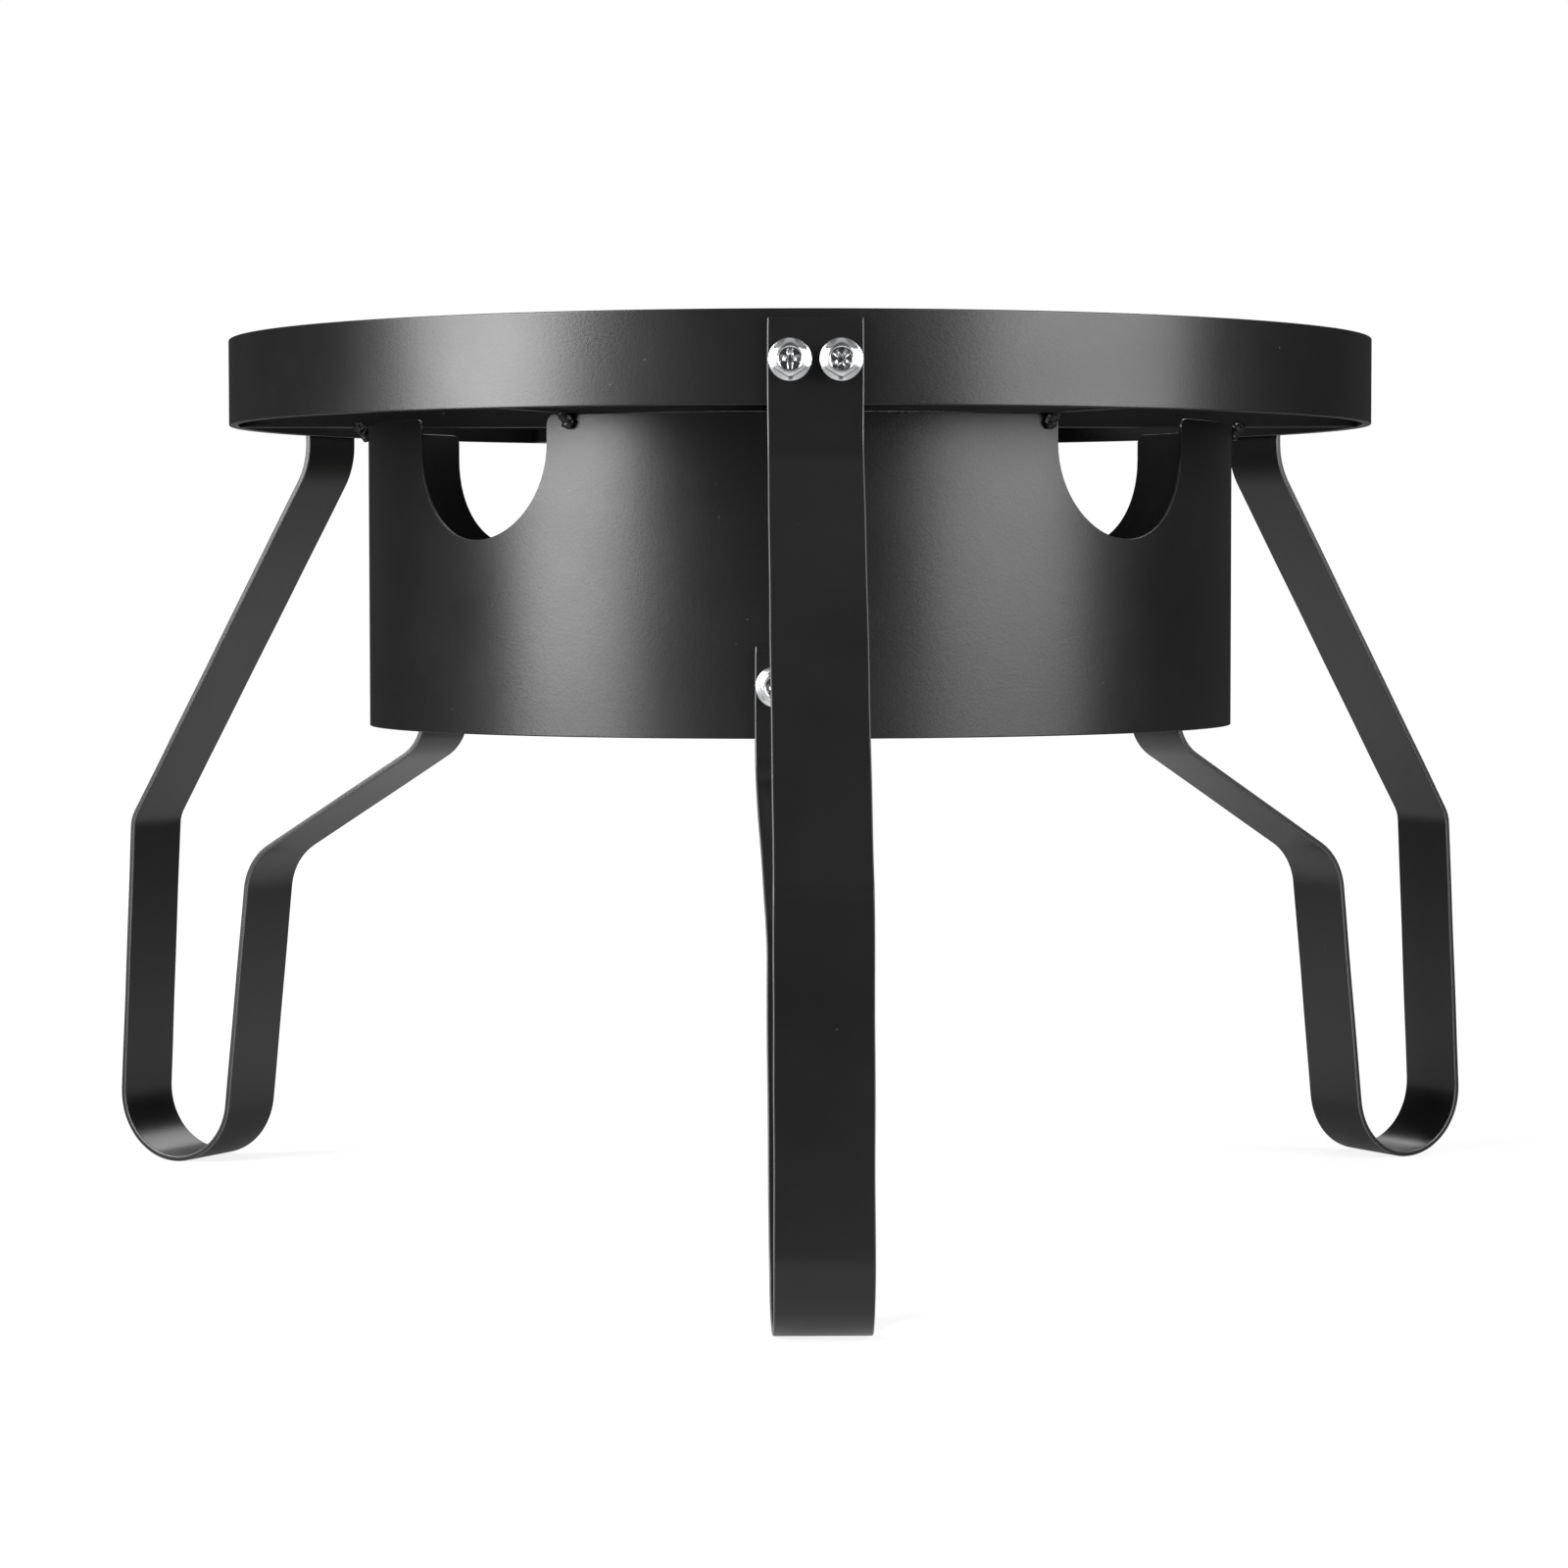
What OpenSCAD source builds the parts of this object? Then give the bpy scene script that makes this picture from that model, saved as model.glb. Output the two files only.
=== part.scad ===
// Propane burner stand: a ring of flat bar on three bent strap legs, with a rolled windscreen
// hung under its pot-support bars and a cast-iron burner inside the windscreen.
// The front leg points along -Y, the gas inlet along +Y, and the feet stand on z = 0.
// All sizes are millimetres.

/* [Top ring] */
// Height of the pot rest above the floor
stand_h = 310; // [300:1:325]
// Outer diameter of the ring
ring_d = 406; // [396:1:416]
// Height of the ring's flat bar
ring_h = 30; // [28:0.5:34]
// Thickness of the ring's flat bar
ring_t = 3; // [2:0.25:4]

/* [Pot-support bars] */
// Height of the bars, whose tops are flush with the ring's top
bar_h = 30; // [26:0.5:34]
// Thickness of the bars
bar_t = 4; // [3:0.25:5]

/* [Windscreen] */
// Outer diameter of the rolled sheet
screen_d = 308; // [300:1:316]
// Height of the sheet
screen_h = 106; // [102:1:112]
// Thickness of the sheet
screen_t = 1; // [0.8:0.1:1.5]
// Width of each U notch in the top edge
notch_w = 64; // [56:1:68]
// Depth of each U notch
notch_depth = 41; // [38:1:44]
// Radius that rounds the corners beside each notch
notch_corner_r = 3; // [1:0.5:4]
// Width of the flat at each notch's bottom
notch_flat = 1; // [0.5:0.5:6]
// Turn of the notches against the bars, counterclockwise from above
notch_turn = -1; // [-2:0.5:2]

/* [Legs] */
// Width of the strap
leg_w = 30; // [28:0.5:32]
// Thickness of the strap
leg_t = 2; // [1.5:0.25:3]
// Gap between the ring's top edge and the strap's end
leg_top_gap = 3; // [2:0.5:4]
// Drop from the ring's lower edge to the outer run's shoulder corner
shoulder_drop = 11; // [10:0.5:14]
// Distance from the stand's axis to the outer run's knee
outer_knee_r = 288; // [284:1:292]
// Height of the outer run's knee
outer_knee_h = 133; // [125:1:140]
// Distance from the stand's axis to the foot's outer corner
foot_out_r = 295; // [293:1:298]
// Distance from the stand's axis to the foot's inner corner
foot_in_r = 247; // [244:1:250]
// Distance from the stand's axis to the inner run's knee
inner_knee_r = 234; // [230:1:238]
// Height of the inner run's knee
inner_knee_h = 118; // [112:1:124]
// Sideways set of the inner run's end, to the leg's own left seen from outside
inner_set = 3.4; // [0:0.2:6]
// Bend radius of the shoulder, at the middle of the strap
shoulder_bend = 28; // [20:1:32]
// Bend radius of the outer knee
outer_knee_bend = 12; // [8:1:20]
// Bend radius of the inner knee
inner_knee_bend = 22; // [16:1:26]
// Bend radius below the windscreen
screen_bend = 17; // [12:1:20]

/* [Screws] */
// Diameter of the leg screws' thread
screw_d = 6; // [5:0.5:6]
// Distance between the two screws at each strap end
screw_pitch = 16; // [15:0.5:17]
// Distance from a strap's end to its screws
screw_end = 13; // [11:0.5:14]
// Height of the lower screws above the windscreen's lower edge
screen_screw_h = 17; // [16:0.5:20]
// Diameter of the flange on screws and nuts
flange_d = 13.6; // [13:0.1:14]
// Width across the flats of screws and nuts
hex_af = 10; // [9:0.5:10]
// Height of a screw's head with its flange
head_h = 5; // [4.5:0.25:6]
// Width of the slope from the head's top to the flats of its hexagon
crown_edge = 0.3; // [0.2:0.1:0.4]
// Distance from the hexagon's corners to the start of the flange's slope
flange_root = 0.2; // [0.1:0.1:0.4]
// Thickness of the flange on screws and nuts
flange_t = 1.2; // [1:0.1:1.4]
// Diameter of the round dish in the head
dish_d = 7.2; // [7:0.1:7.8]
// Depth of the round dish
dish_depth = 0.9; // [0.5:0.1:1.2]
// Length of each arm pair of the cross recess
cross_l = 6.2; // [5.6:0.1:6.4]
// Width of an arm of the cross recess
cross_w = 1.5; // [1.2:0.1:1.8]
// Depth of the cross recess below the dish
cross_depth = 2.2; // [1.5:0.1:2.5]
// Height of a nut with its flange
nut_h = 6; // [5:0.25:7]
// Screw thread that stands out of each nut
thread_out = 0.6; // [0:0.1:2]

/* [Burner bracket] */
// Thickness of the bracket's plate
bracket_t = 3; // [2.5:0.25:3.5]
// Width of each arm and its upturned end
bracket_w = 26; // [25:0.5:28]
// Height of the bracket's underside above the windscreen's lower edge
bracket_lift = 4; // [3:0.5:5]
// Diameter of the bracket's centre disc
bracket_hub_d = 70; // [60:1:80]
// Height of the upturned ends above the screws' flanges
bracket_tab_over = 1; // [0.5:0.25:3]

/* [Burner] */
// Outer diameter of the cast bowl
bowl_d = 136; // [130:1:144]
// Height of the bowl's wall
bowl_h = 33; // [32:0.5:36]
// Thickness of the bowl's wall
bowl_wall = 6; // [6:0.25:7]
// Thickness of the bowl's floor
bowl_floor = 5; // [4:0.25:6]
// Diameter of the boss under the bowl
boss_d = 28; // [24:1:32]
// Height of the boss between bracket and bowl
boss_h = 14; // [12:0.5:16]
// Distance that the cap stands out past the bowl
cap_lip = 2; // [1:0.25:3]
// Thickness of the cap above the bowl's rim
cap_t = 6; // [5:0.25:6.5]
// Depth of the cap's spigot in the bowl
spigot_h = 4; // [3:0.25:5]
// Diameter of a flame port
port_d = 3.2; // [2:0.1:3.6]
// Number of rings of flame ports
port_rings = 3; // [2:1:3]
// Diameter of the innermost ring of ports
port_first_d = 40; // [36:1:44]
// Diameter step from one ring of ports to the next
port_step_d = 32; // [28:1:33]
// Ring diameter that holds each six ports
port_six_d = 14; // [12:0.5:20]
// Diameter of the cap screws' thread
cap_screw_d = 4; // [3:0.25:4]
// Length of the cap screws under the head
cap_screw_l = 16; // [12:0.5:18]
// Diameter of the cap screws' heads
cap_head_d = 7; // [6:0.25:8]
// Height of the cap screws' heads
cap_head_h = 2.6; // [2:0.1:3]
// Width and depth of the slot in the cap screws' heads
cap_slot = 1.2; // [0.8:0.1:1.4]
// Diameter of the bolt that holds the burner down
bolt_d = 8; // [6:0.5:8]
// Length of the bolt under its head
bolt_l = 16; // [15:0.5:17]
// Width across the flats of the bolt's head
bolt_af = 13; // [12:0.5:14]
// Height of the bolt's head
bolt_head_h = 5; // [4:0.25:5.5]
// Thickness of the lock washer under the bolt's head
washer_t = 2; // [1.5:0.25:2.25]
// Outer diameter of the lock washer
washer_d = 14.5; // [13.5:0.25:16]
// Width of the split in the lock washer
washer_split = 1.2; // [0.8:0.1:2]

/* [Mixer tube] */
// Outer diameter of the mixer tube
tube_d = 32; // [30:0.5:34]
// Thickness of the tube's wall
tube_wall = 5; // [4:0.25:6]
// Height of the tube's bore above the bowl's floor
tube_lift = 0.5; // [0.3:0.1:0.8]
// Gap round the tube in the windscreen's slot
slot_gap = 2; // [1.5:0.25:4]
// Gap between the windscreen and the start of the bell
bell_gap = 4; // [3:0.5:6]
// Outer diameter of the bell
bell_d = 60; // [58:0.5:62]
// Thickness of the bell's wall
bell_wall = 6; // [5:0.25:6]
// Length of the cone that opens into the bell
bell_cone_l = 12; // [10:0.5:14]
// Length of the bell behind the cone
bell_l = 22; // [20:0.5:24]
// Thickness of the bell's end wall
web_t = 4; // [3:0.25:5]
// Length of the tapped boss inside the bell
boss_back = 10; // [8:0.5:12]
// Diameter of each air window
window_d = 12; // [9:0.5:12]
// Rim between the windows and the bell's wall
window_rim = 0.5; // [0.25:0.25:1]
// Number of air windows
window_n = 4; // [4]
// Diameter of the stop peg on the end wall
peg_d = 4; // [3:0.25:4]
// Distance from the stop peg to the bell's outside
peg_rim = 0.7; // [0.5:0.1:1]

/* [Air shutter] */
// Thickness of the shutter plate
shutter_t = 1.5; // [1.2:0.1:2]
// Distance by which the shutter's rim stands back from the bell's
shutter_rim = 1; // [0.5:0.25:1.5]
// Angle that the shutter turns from open to closed
shutter_travel = 45; // [40:1:45]
// Length of the thumb tab on the shutter's rim
tab_l = 14; // [10:0.5:16]
// Width of the thumb tab
tab_w = 12; // [8:0.5:14]
// Thickness of the dished spring washer
spring_t = 0.6; // [0.4:0.1:0.8]
// Width of the spring washer from its bore to its rim
spring_w = 3.2; // [2.5:0.1:4]

/* [Gas fittings] */
// Diameter of the orifice holder's thread in the bell
spud_d = 13.2; // [12:0.1:14]
// Diameter of the journal that the shutter turns on
journal_d = 16; // [15.5:0.1:17]
// Length of the journal
journal_l = 4; // [3.8:0.1:5]
// Width across the flats of the orifice holder
spud_af = 22; // [21:0.5:24]
// Thickness of the orifice holder's hexagon
spud_hex_t = 8; // [7:0.25:10]
// Diameter of the jet's nose inside the bell
jet_d = 8; // [7:0.25:10]
// Length of the jet's nose past the boss
jet_l = 6; // [4:0.5:8]
// Diameter of the gas hole in the jet
jet_bore = 1.6; // [1:0.1:2.5]
// Width across the flats of the inlet adapter
inlet_af = 19; // [18:0.5:21]
// Thickness of the adapter's hexagon
inlet_hex_t = 7; // [6:0.25:8]
// Thread diameter of the 3/8 inch flare end, 5/8-18 UNF
flare_d = 15.875; // [15.875]
// Length of the flare thread
flare_l = 10; // [9:0.5:14]
// Length of the 45 degree cone on the flare end
flare_cone_l = 3; // [2:0.25:4]
// Diameter of the gas way through the fittings
gas_bore = 6; // [5:0.25:7]
// Diameter of the thread that joins the two fittings
joint_d = 10; // [9.5:0.1:11]

/* [Fits] */
// Radial gap between a thread and its nut or tapped hole
thread_fit = 0.05; // [0.02:0.01:0.08]
// Radial gap between a screw and a clearance hole
hole_fit = 0.3; // [0.2:0.05:0.5]
// Radial gap between the shutter and its journal
shutter_fit = 0.06; // [0.03:0.01:0.08]
// Gap between the shutter and what lies before and behind it
shutter_gap = 0.3; // [0.25:0.05:0.4]
// Radial gap between the cap's spigot and the bowl
cap_fit = 0.3; // [0.1:0.05:0.5]

/* [Hidden] */

$fn = 96;
black = "#1c1c1e";
zinc = "#c9cdd2";
iron = "#3b3a38";
brass = "#b9923f";
steel = "#8f9296";
over = 1;           // how far a cutter runs past the face it cuts
drill = 10;         // how far a drill runs to each side of a strap
arc_step = 5;       // angle of one facet of a strap's bend
punch_mouth = 0.05; // how far above the sheet's edge the punch's rounded corners start

// Ring, bars and windscreen
ring_r = ring_d / 2;
ring_in_r = ring_r - ring_t;
screen_r = screen_d / 2;
screen_in_r = screen_r - screen_t;
screen_top = stand_h - bar_h;
screen_bottom = screen_top - screen_h;
arm_angles = [30, 150];                    // from +X, for the arms on the right
notch_angles = [for (a = [45:90:315]) a + notch_turn];
leg_angles = [-90, 150, 30];               // front, left and right leg

// Straps: the corners of each run's middle line as [distance from the axis, height]
leg_out_mid = ring_r + leg_t / 2;
leg_in_mid = screen_r + leg_t / 2;
ring_screw_z = stand_h - leg_top_gap - screw_end;
screen_screw_z = screen_bottom + screen_screw_h;
foot_z = leg_t / 2;
outer_top = [leg_out_mid, stand_h - leg_top_gap];
shoulder = [leg_out_mid, stand_h - ring_h - shoulder_drop];
outer_knee = [outer_knee_r, outer_knee_h];
foot_out = [foot_out_r, foot_z];
foot_in = [foot_in_r, foot_z];
inner_knee = [inner_knee_r, inner_knee_h];
inner_top = [leg_in_mid, screen_screw_z + screw_end];
// The corner below the windscreen lies so that its bend ends near the sheet's lower edge
screen_turn = angle_of(inner_knee, [leg_in_mid, screen_bottom - screen_bend / 2]) - 90;
screen_corner = [leg_in_mid, screen_bottom - screen_bend * tan(screen_turn / 2)];
// The foot's radius makes its two quarter bends meet at the lowest point
foot_out_turn = 180 + angle_of(outer_knee, foot_out);
foot_in_turn = 180 - angle_of(foot_in, inner_knee);
foot_bend = (foot_out_r - foot_in_r) / (tan(foot_out_turn / 2) + tan(foot_in_turn / 2));
foot_mid = [foot_in_r + foot_bend * tan(foot_in_turn / 2), foot_z];
outer_run = [outer_top, shoulder, outer_knee, foot_out, foot_mid];
outer_bends = [0, shoulder_bend, outer_knee_bend, foot_bend, 0];
inner_run = [foot_mid, foot_in, inner_knee, screen_corner, inner_top];
inner_bends = [0, foot_bend, inner_knee_bend, screen_bend, 0];
inner_slope = inner_set / (foot_mid.x - leg_in_mid);

// Seats of the screws and nuts, as distances from the stand's axis. The flange of a ring nut
// touches the inside of the ring at its outer edge.
ring_head_x = ring_r + leg_t;
screen_head_x = screen_r + leg_t;
ring_nut_edge = screw_pitch / 2 + flange_d / 2;
ring_nut_x = sqrt(ring_in_r * ring_in_r - ring_nut_edge * ring_nut_edge);
hex_corner_d = hex_af / cos(30);

// Bracket and burner
bracket_z = screen_bottom + bracket_lift;
bracket_top = bracket_z + bracket_t;
tab_edge = inner_set + bracket_w / 2;
tab_out_r = sqrt(screen_in_r * screen_in_r - tab_edge * tab_edge);
tab_in_r = tab_out_r - bracket_t;
tab_top = screen_screw_z + flange_d / 2 + bracket_tab_over;
bowl_bottom = bracket_top + boss_h;
bowl_in_r = bowl_d / 2 - bowl_wall;
rim_z = bowl_bottom + bowl_h;
cap_r = bowl_d / 2 + cap_lip;
cap_top = rim_z + cap_t;
cap_screw_r = bowl_d / 2 - bowl_wall / 2;
cap_screw_angles = [30, 150, 270];

// Mixer tube, along +Y
tube_r = tube_d / 2;
tube_in_r = tube_r - tube_wall;
tube_z = bowl_bottom + bowl_floor + tube_lift + tube_in_r;
cone_y = screen_r + bell_gap;
bell_y = cone_y + bell_cone_l;
web_y = bell_y + bell_l;
bell_r = bell_d / 2;
bell_in_r = bell_r - bell_wall;
window_r = bell_in_r - window_d / 2 - window_rim;
web_boss_r = window_r - window_d / 2;
peg_r = bell_r - peg_d / 2 - peg_rim;
shutter_r = bell_r - shutter_rim;
peg_angle = 45;
peg_half = asin((peg_d / 2 + shutter_gap) / peg_r);
hex_y = web_y + journal_l;
inlet_y = hex_y + spud_hex_t;
thread_y = inlet_y + inlet_hex_t;
back_reach = thread_y + flare_l + flare_cone_l;
front_reach = foot_mid.x + foot_bend + leg_t / 2;
// The box's middle in Y lies at y = 0, so the ring's axis is set back by this much
axis_y = (front_reach - back_reach) / 2;

// Angle of the line from a to b
function angle_of(a, b) = atan2(b.y - a.y, b.x - a.x);
// Signed turn at corner i of path p, within half a turn either way
function turn_at(p, i) =
    let (d = angle_of(p[i], p[i + 1]) - angle_of(p[i - 1], p[i]))
    d > 180 ? d - 360 : d < -180 ? d + 360 : d;
// Vector of length d to the left of direction a
function left_of(a, d) = d * [-sin(a), cos(a)];
// Arc that rounds corner i of path p, for the line that runs d to the left of the path
function bend_at(p, r, i, d) =
    let (a = angle_of(p[i - 1], p[i]), t = turn_at(p, i), s = sign(t),
         c = p[i] - r[i] * tan(abs(t) / 2) * [cos(a), sin(a)] + left_of(a, s * r[i]),
         n = ceil(abs(t) / arc_step))
    [for (k = [0:n]) let (f = a - 90 * s + t * k / n) c + (r[i] - s * d) * [cos(f), sin(f)]];
// All the rounded corners of path p
function bends(p, r, d) = [for (i = [1:len(p) - 2]) each bend_at(p, r, i, d)];
function reversed(v) = [for (i = [len(v) - 1:-1:0]) v[i]];
// Edge of the outer run, from its top to the lowest point of the foot
function outer_edge(d) = concat(
    [outer_run[0] + left_of(angle_of(outer_run[0], outer_run[1]), d)],
    bends(outer_run, outer_bends, d));
// Edge of the inner run, from the lowest point of the foot to its top
function inner_edge(d) = concat(
    bends(inner_run, inner_bends, d),
    [inner_run[4] + left_of(angle_of(inner_run[3], inner_run[4]), d)]);

// Moves its children from the ring's axis to their place in the part's frame
module stand() { translate([0, axis_y, 0]) children(); }
// Turns a piece drawn along +X to leg i
module at_leg(i) { stand() rotate([0, 0, leg_angles[i]]) children(); }
// Lays a piece drawn along +Z along the mixer tube, starting y from the stand's axis
module on_tube(y) { stand() translate([0, y, tube_z]) rotate([-90, 0, 0]) children(); }
// A rod along +X from x0 to x1
module rod_x(x0, x1, d) { translate([x0, 0, 0]) rotate([0, 90, 0]) cylinder(h = x1 - x0, d = d); }
// A hexagonal prism, af across its flats
module hex(af, h) { cylinder(h = h, d = af / cos(30), $fn = 6); }

module top_ring() {
    color(black) stand() difference() {
        translate([0, 0, stand_h - ring_h]) cylinder(h = ring_h, r = ring_r, $fn = 180);
        translate([0, 0, stand_h - ring_h - over])
            cylinder(h = ring_h + 2 * over, r = ring_in_r, $fn = 180);
        for (a = leg_angles, y = [-1, 1])
            rotate([0, 0, a]) translate([0, y * screw_pitch / 2, ring_screw_z])
                rod_x(ring_in_r - drill, ring_r + over, screw_d + 2 * hole_fit, $fn = 32);
    }
}

// The bar that crosses the ring, with ends shaped to the ring
module cross_bar() {
    color(black) stand() intersection() {
        translate([-ring_r, -bar_t / 2, screen_top]) cube([ring_d, bar_t, bar_h]);
        translate([0, 0, screen_top]) cylinder(h = bar_h, r = ring_in_r, $fn = 180);
    }
}

// One arm from the cross bar to the ring: side is 1 on the right, rear is 1 at the back
module support_arm(side, rear) {
    color(black) stand() mirror([side < 0 ? 1 : 0, 0, 0]) mirror([0, rear > 0 ? 0 : 1, 0])
        intersection() {
            rotate([0, 0, 60]) translate([0, -bar_t / 2, screen_top])
                cube([ring_r, bar_t, bar_h]);
            translate([0, bar_t / 2, screen_top]) cube([ring_r, ring_r, bar_h]);
            translate([0, 0, screen_top]) cylinder(h = bar_h, r = ring_in_r, $fn = 180);
        }
}
module support_arm_front_left() { support_arm(-1, -1); }
module support_arm_front_right() { support_arm(1, -1); }
module support_arm_rear_left() { support_arm(-1, 1); }
module support_arm_rear_right() { support_arm(1, 1); }

// Outline of the punch that cuts a notch, with the sheet's edge at y = 0
function notch_outline() =
    let (r = notch_w / 2, c = notch_corner_r, bottom_r = r - notch_flat / 2, m = punch_mouth)
    concat([[-r - c, over]],
           bends([[-r - c, m], [-r, m], [-r, -notch_depth], [r, -notch_depth], [r, m], [r + c, m]],
                 [0, c, bottom_r, bottom_r, c, 0], 0),
           [[r + c, over]]);

module windscreen() {
    slot_w = tube_d + 2 * slot_gap;
    color(black) stand() difference() {
        translate([0, 0, screen_bottom]) cylinder(h = screen_h, r = screen_r, $fn = 180);
        translate([0, 0, screen_bottom - over])
            cylinder(h = screen_h + 2 * over, r = screen_in_r, $fn = 180);
        for (a = notch_angles)
            rotate([0, 0, a]) translate([screen_r / 2, 0, screen_top])
                rotate([90, 0, 90]) linear_extrude(screen_r) polygon(notch_outline());
        for (a = leg_angles, y = [-1, 1])
            rotate([0, 0, a]) translate([0, y * screw_pitch / 2 - inner_set, screen_screw_z])
                rod_x(screen_r / 2, screen_r + over, screw_d + 2 * hole_fit, $fn = 32);
        translate([0, screen_r / 2, tube_z]) rotate([-90, 0, 0])
            cylinder(h = screen_r, d = slot_w);
        translate([-slot_w / 2, screen_r / 2, screen_bottom - over])
            cube([slot_w, screen_r, tube_z - screen_bottom + over]);
    }
}

// One leg along +X: a strap bent down, out, round the foot and back up to the windscreen
module leg(i) {
    near_x = screen_r - over;
    near_set = inner_slope * (foot_mid.x - near_x);
    half = leg_w / 2;
    color(black) at_leg(i) difference() {
        union() {
            rotate([90, 0, 0]) linear_extrude(leg_w, center = true)
                polygon(concat(outer_edge(leg_t / 2), reversed(outer_edge(-leg_t / 2))));
            intersection() {
                rotate([90, 0, 0]) linear_extrude(2 * leg_w, center = true)
                    polygon(concat(inner_edge(leg_t / 2), reversed(inner_edge(-leg_t / 2))));
                linear_extrude(stand_h)
                    polygon([[foot_mid.x, half], [near_x, half - near_set],
                             [near_x, -half - near_set], [foot_mid.x, -half]]);
            }
        }
        for (y = [-1, 1]) {
            translate([0, y * screw_pitch / 2, ring_screw_z])
                rod_x(ring_r - drill, ring_r + drill, screw_d + 2 * hole_fit, $fn = 32);
            translate([0, y * screw_pitch / 2 - inner_set, screen_screw_z])
                rod_x(screen_r - drill, screen_r + drill, screw_d + 2 * hole_fit, $fn = 32);
        }
    }
}
module front_leg() { leg(0); }
module left_leg() { leg(1); }
module right_leg() { leg(2); }

// Flange screw along +X with its head outwards and its seat at x = 0. A corner of the hexagon
// points down before it is turned by hex_turn, and so does an arm of the cross before cross_turn.
module flange_screw(l, hex_turn, cross_turn) {
    rotate([0, 90, 0]) difference() {
        union() {
            translate([0, 0, -l]) cylinder(h = l + flange_t, d = screw_d, $fn = 32);
            cylinder(h = flange_t, d1 = flange_d, d2 = hex_corner_d + 2 * flange_root, $fn = 48);
            intersection() {
                rotate([0, 0, hex_turn]) hex(hex_af, head_h);
                cylinder(h = head_h, d1 = hex_corner_d + head_h, d2 = hex_af - 2 * crown_edge,
                         $fn = 48);
            }
        }
        translate([0, 0, head_h - dish_depth])
            cylinder(h = dish_depth + over, d1 = dish_d - 1, d2 = dish_d + 1, $fn = 48);
        for (a = [0, 90]) rotate([0, 0, cross_turn + a])
            translate([-cross_l / 2, -cross_w / 2, head_h - dish_depth - cross_depth])
                cube([cross_l, cross_w, cross_depth + over]);
    }
}

// Flange nut along -X with its seat at x = 0
module flange_nut(spin) {
    rotate([0, -90, 0]) rotate([0, 0, spin]) difference() {
        union() {
            cylinder(h = flange_t, d = flange_d, $fn = 48);
            hex(hex_af, nut_h);
        }
        translate([0, 0, -over]) cylinder(h = nut_h + 2 * over, d = screw_d + 2 * thread_fit, $fn = 32);
    }
}

module ring_screws() {
    color(zinc) for (i = [0:2], y = [-1, 1])
        at_leg(i) translate([ring_head_x, y * screw_pitch / 2, ring_screw_z])
            flange_screw(ring_head_x - ring_nut_x + nut_h + thread_out,
                         (17 + 9 * y) * i, 22.5 * (1 + y) + 31 * i);
}
module ring_nuts() {
    color(zinc) for (i = [0:2], y = [-1, 1])
        at_leg(i) translate([ring_nut_x, y * screw_pitch / 2, ring_screw_z])
            flange_nut(10 + 25 * i + 12 * y);
}
module windscreen_screws() {
    color(zinc) for (i = [0:2], y = [-1, 1])
        at_leg(i) translate([screen_head_x, y * screw_pitch / 2 - inner_set, screen_screw_z])
            flange_screw(screen_head_x - tab_in_r + nut_h + thread_out,
                         11 + 19 * i + 8 * y, 5 + 31 * i + 18 * y);
}
module windscreen_nuts() {
    color(zinc) for (i = [0:2], y = [-1, 1])
        at_leg(i) translate([tab_in_r, y * screw_pitch / 2 - inner_set, screen_screw_z])
            flange_nut(20 + 17 * i + 9 * y);
}

// Spider of flat bar whose upturned ends share the legs' lower screws
module burner_bracket() {
    color(black) difference() {
        union() {
            stand() translate([0, 0, bracket_z]) cylinder(h = bracket_t, d = bracket_hub_d);
            for (i = [0:2]) at_leg(i) {
                translate([0, -inner_set - bracket_w / 2, bracket_z])
                    cube([tab_out_r, bracket_w, bracket_t]);
                translate([tab_in_r, -inner_set - bracket_w / 2, bracket_z])
                    cube([bracket_t, bracket_w, tab_top - bracket_z]);
            }
        }
        stand() translate([0, 0, bracket_z - over])
            cylinder(h = bracket_t + 2 * over, d = bolt_d + 2 * hole_fit, $fn = 48);
        for (i = [0:2], y = [-1, 1])
            at_leg(i) translate([0, y * screw_pitch / 2 - inner_set, screen_screw_z])
                rod_x(tab_in_r - over, tab_out_r + over, screw_d + 2 * hole_fit, $fn = 32);
    }
}

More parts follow.
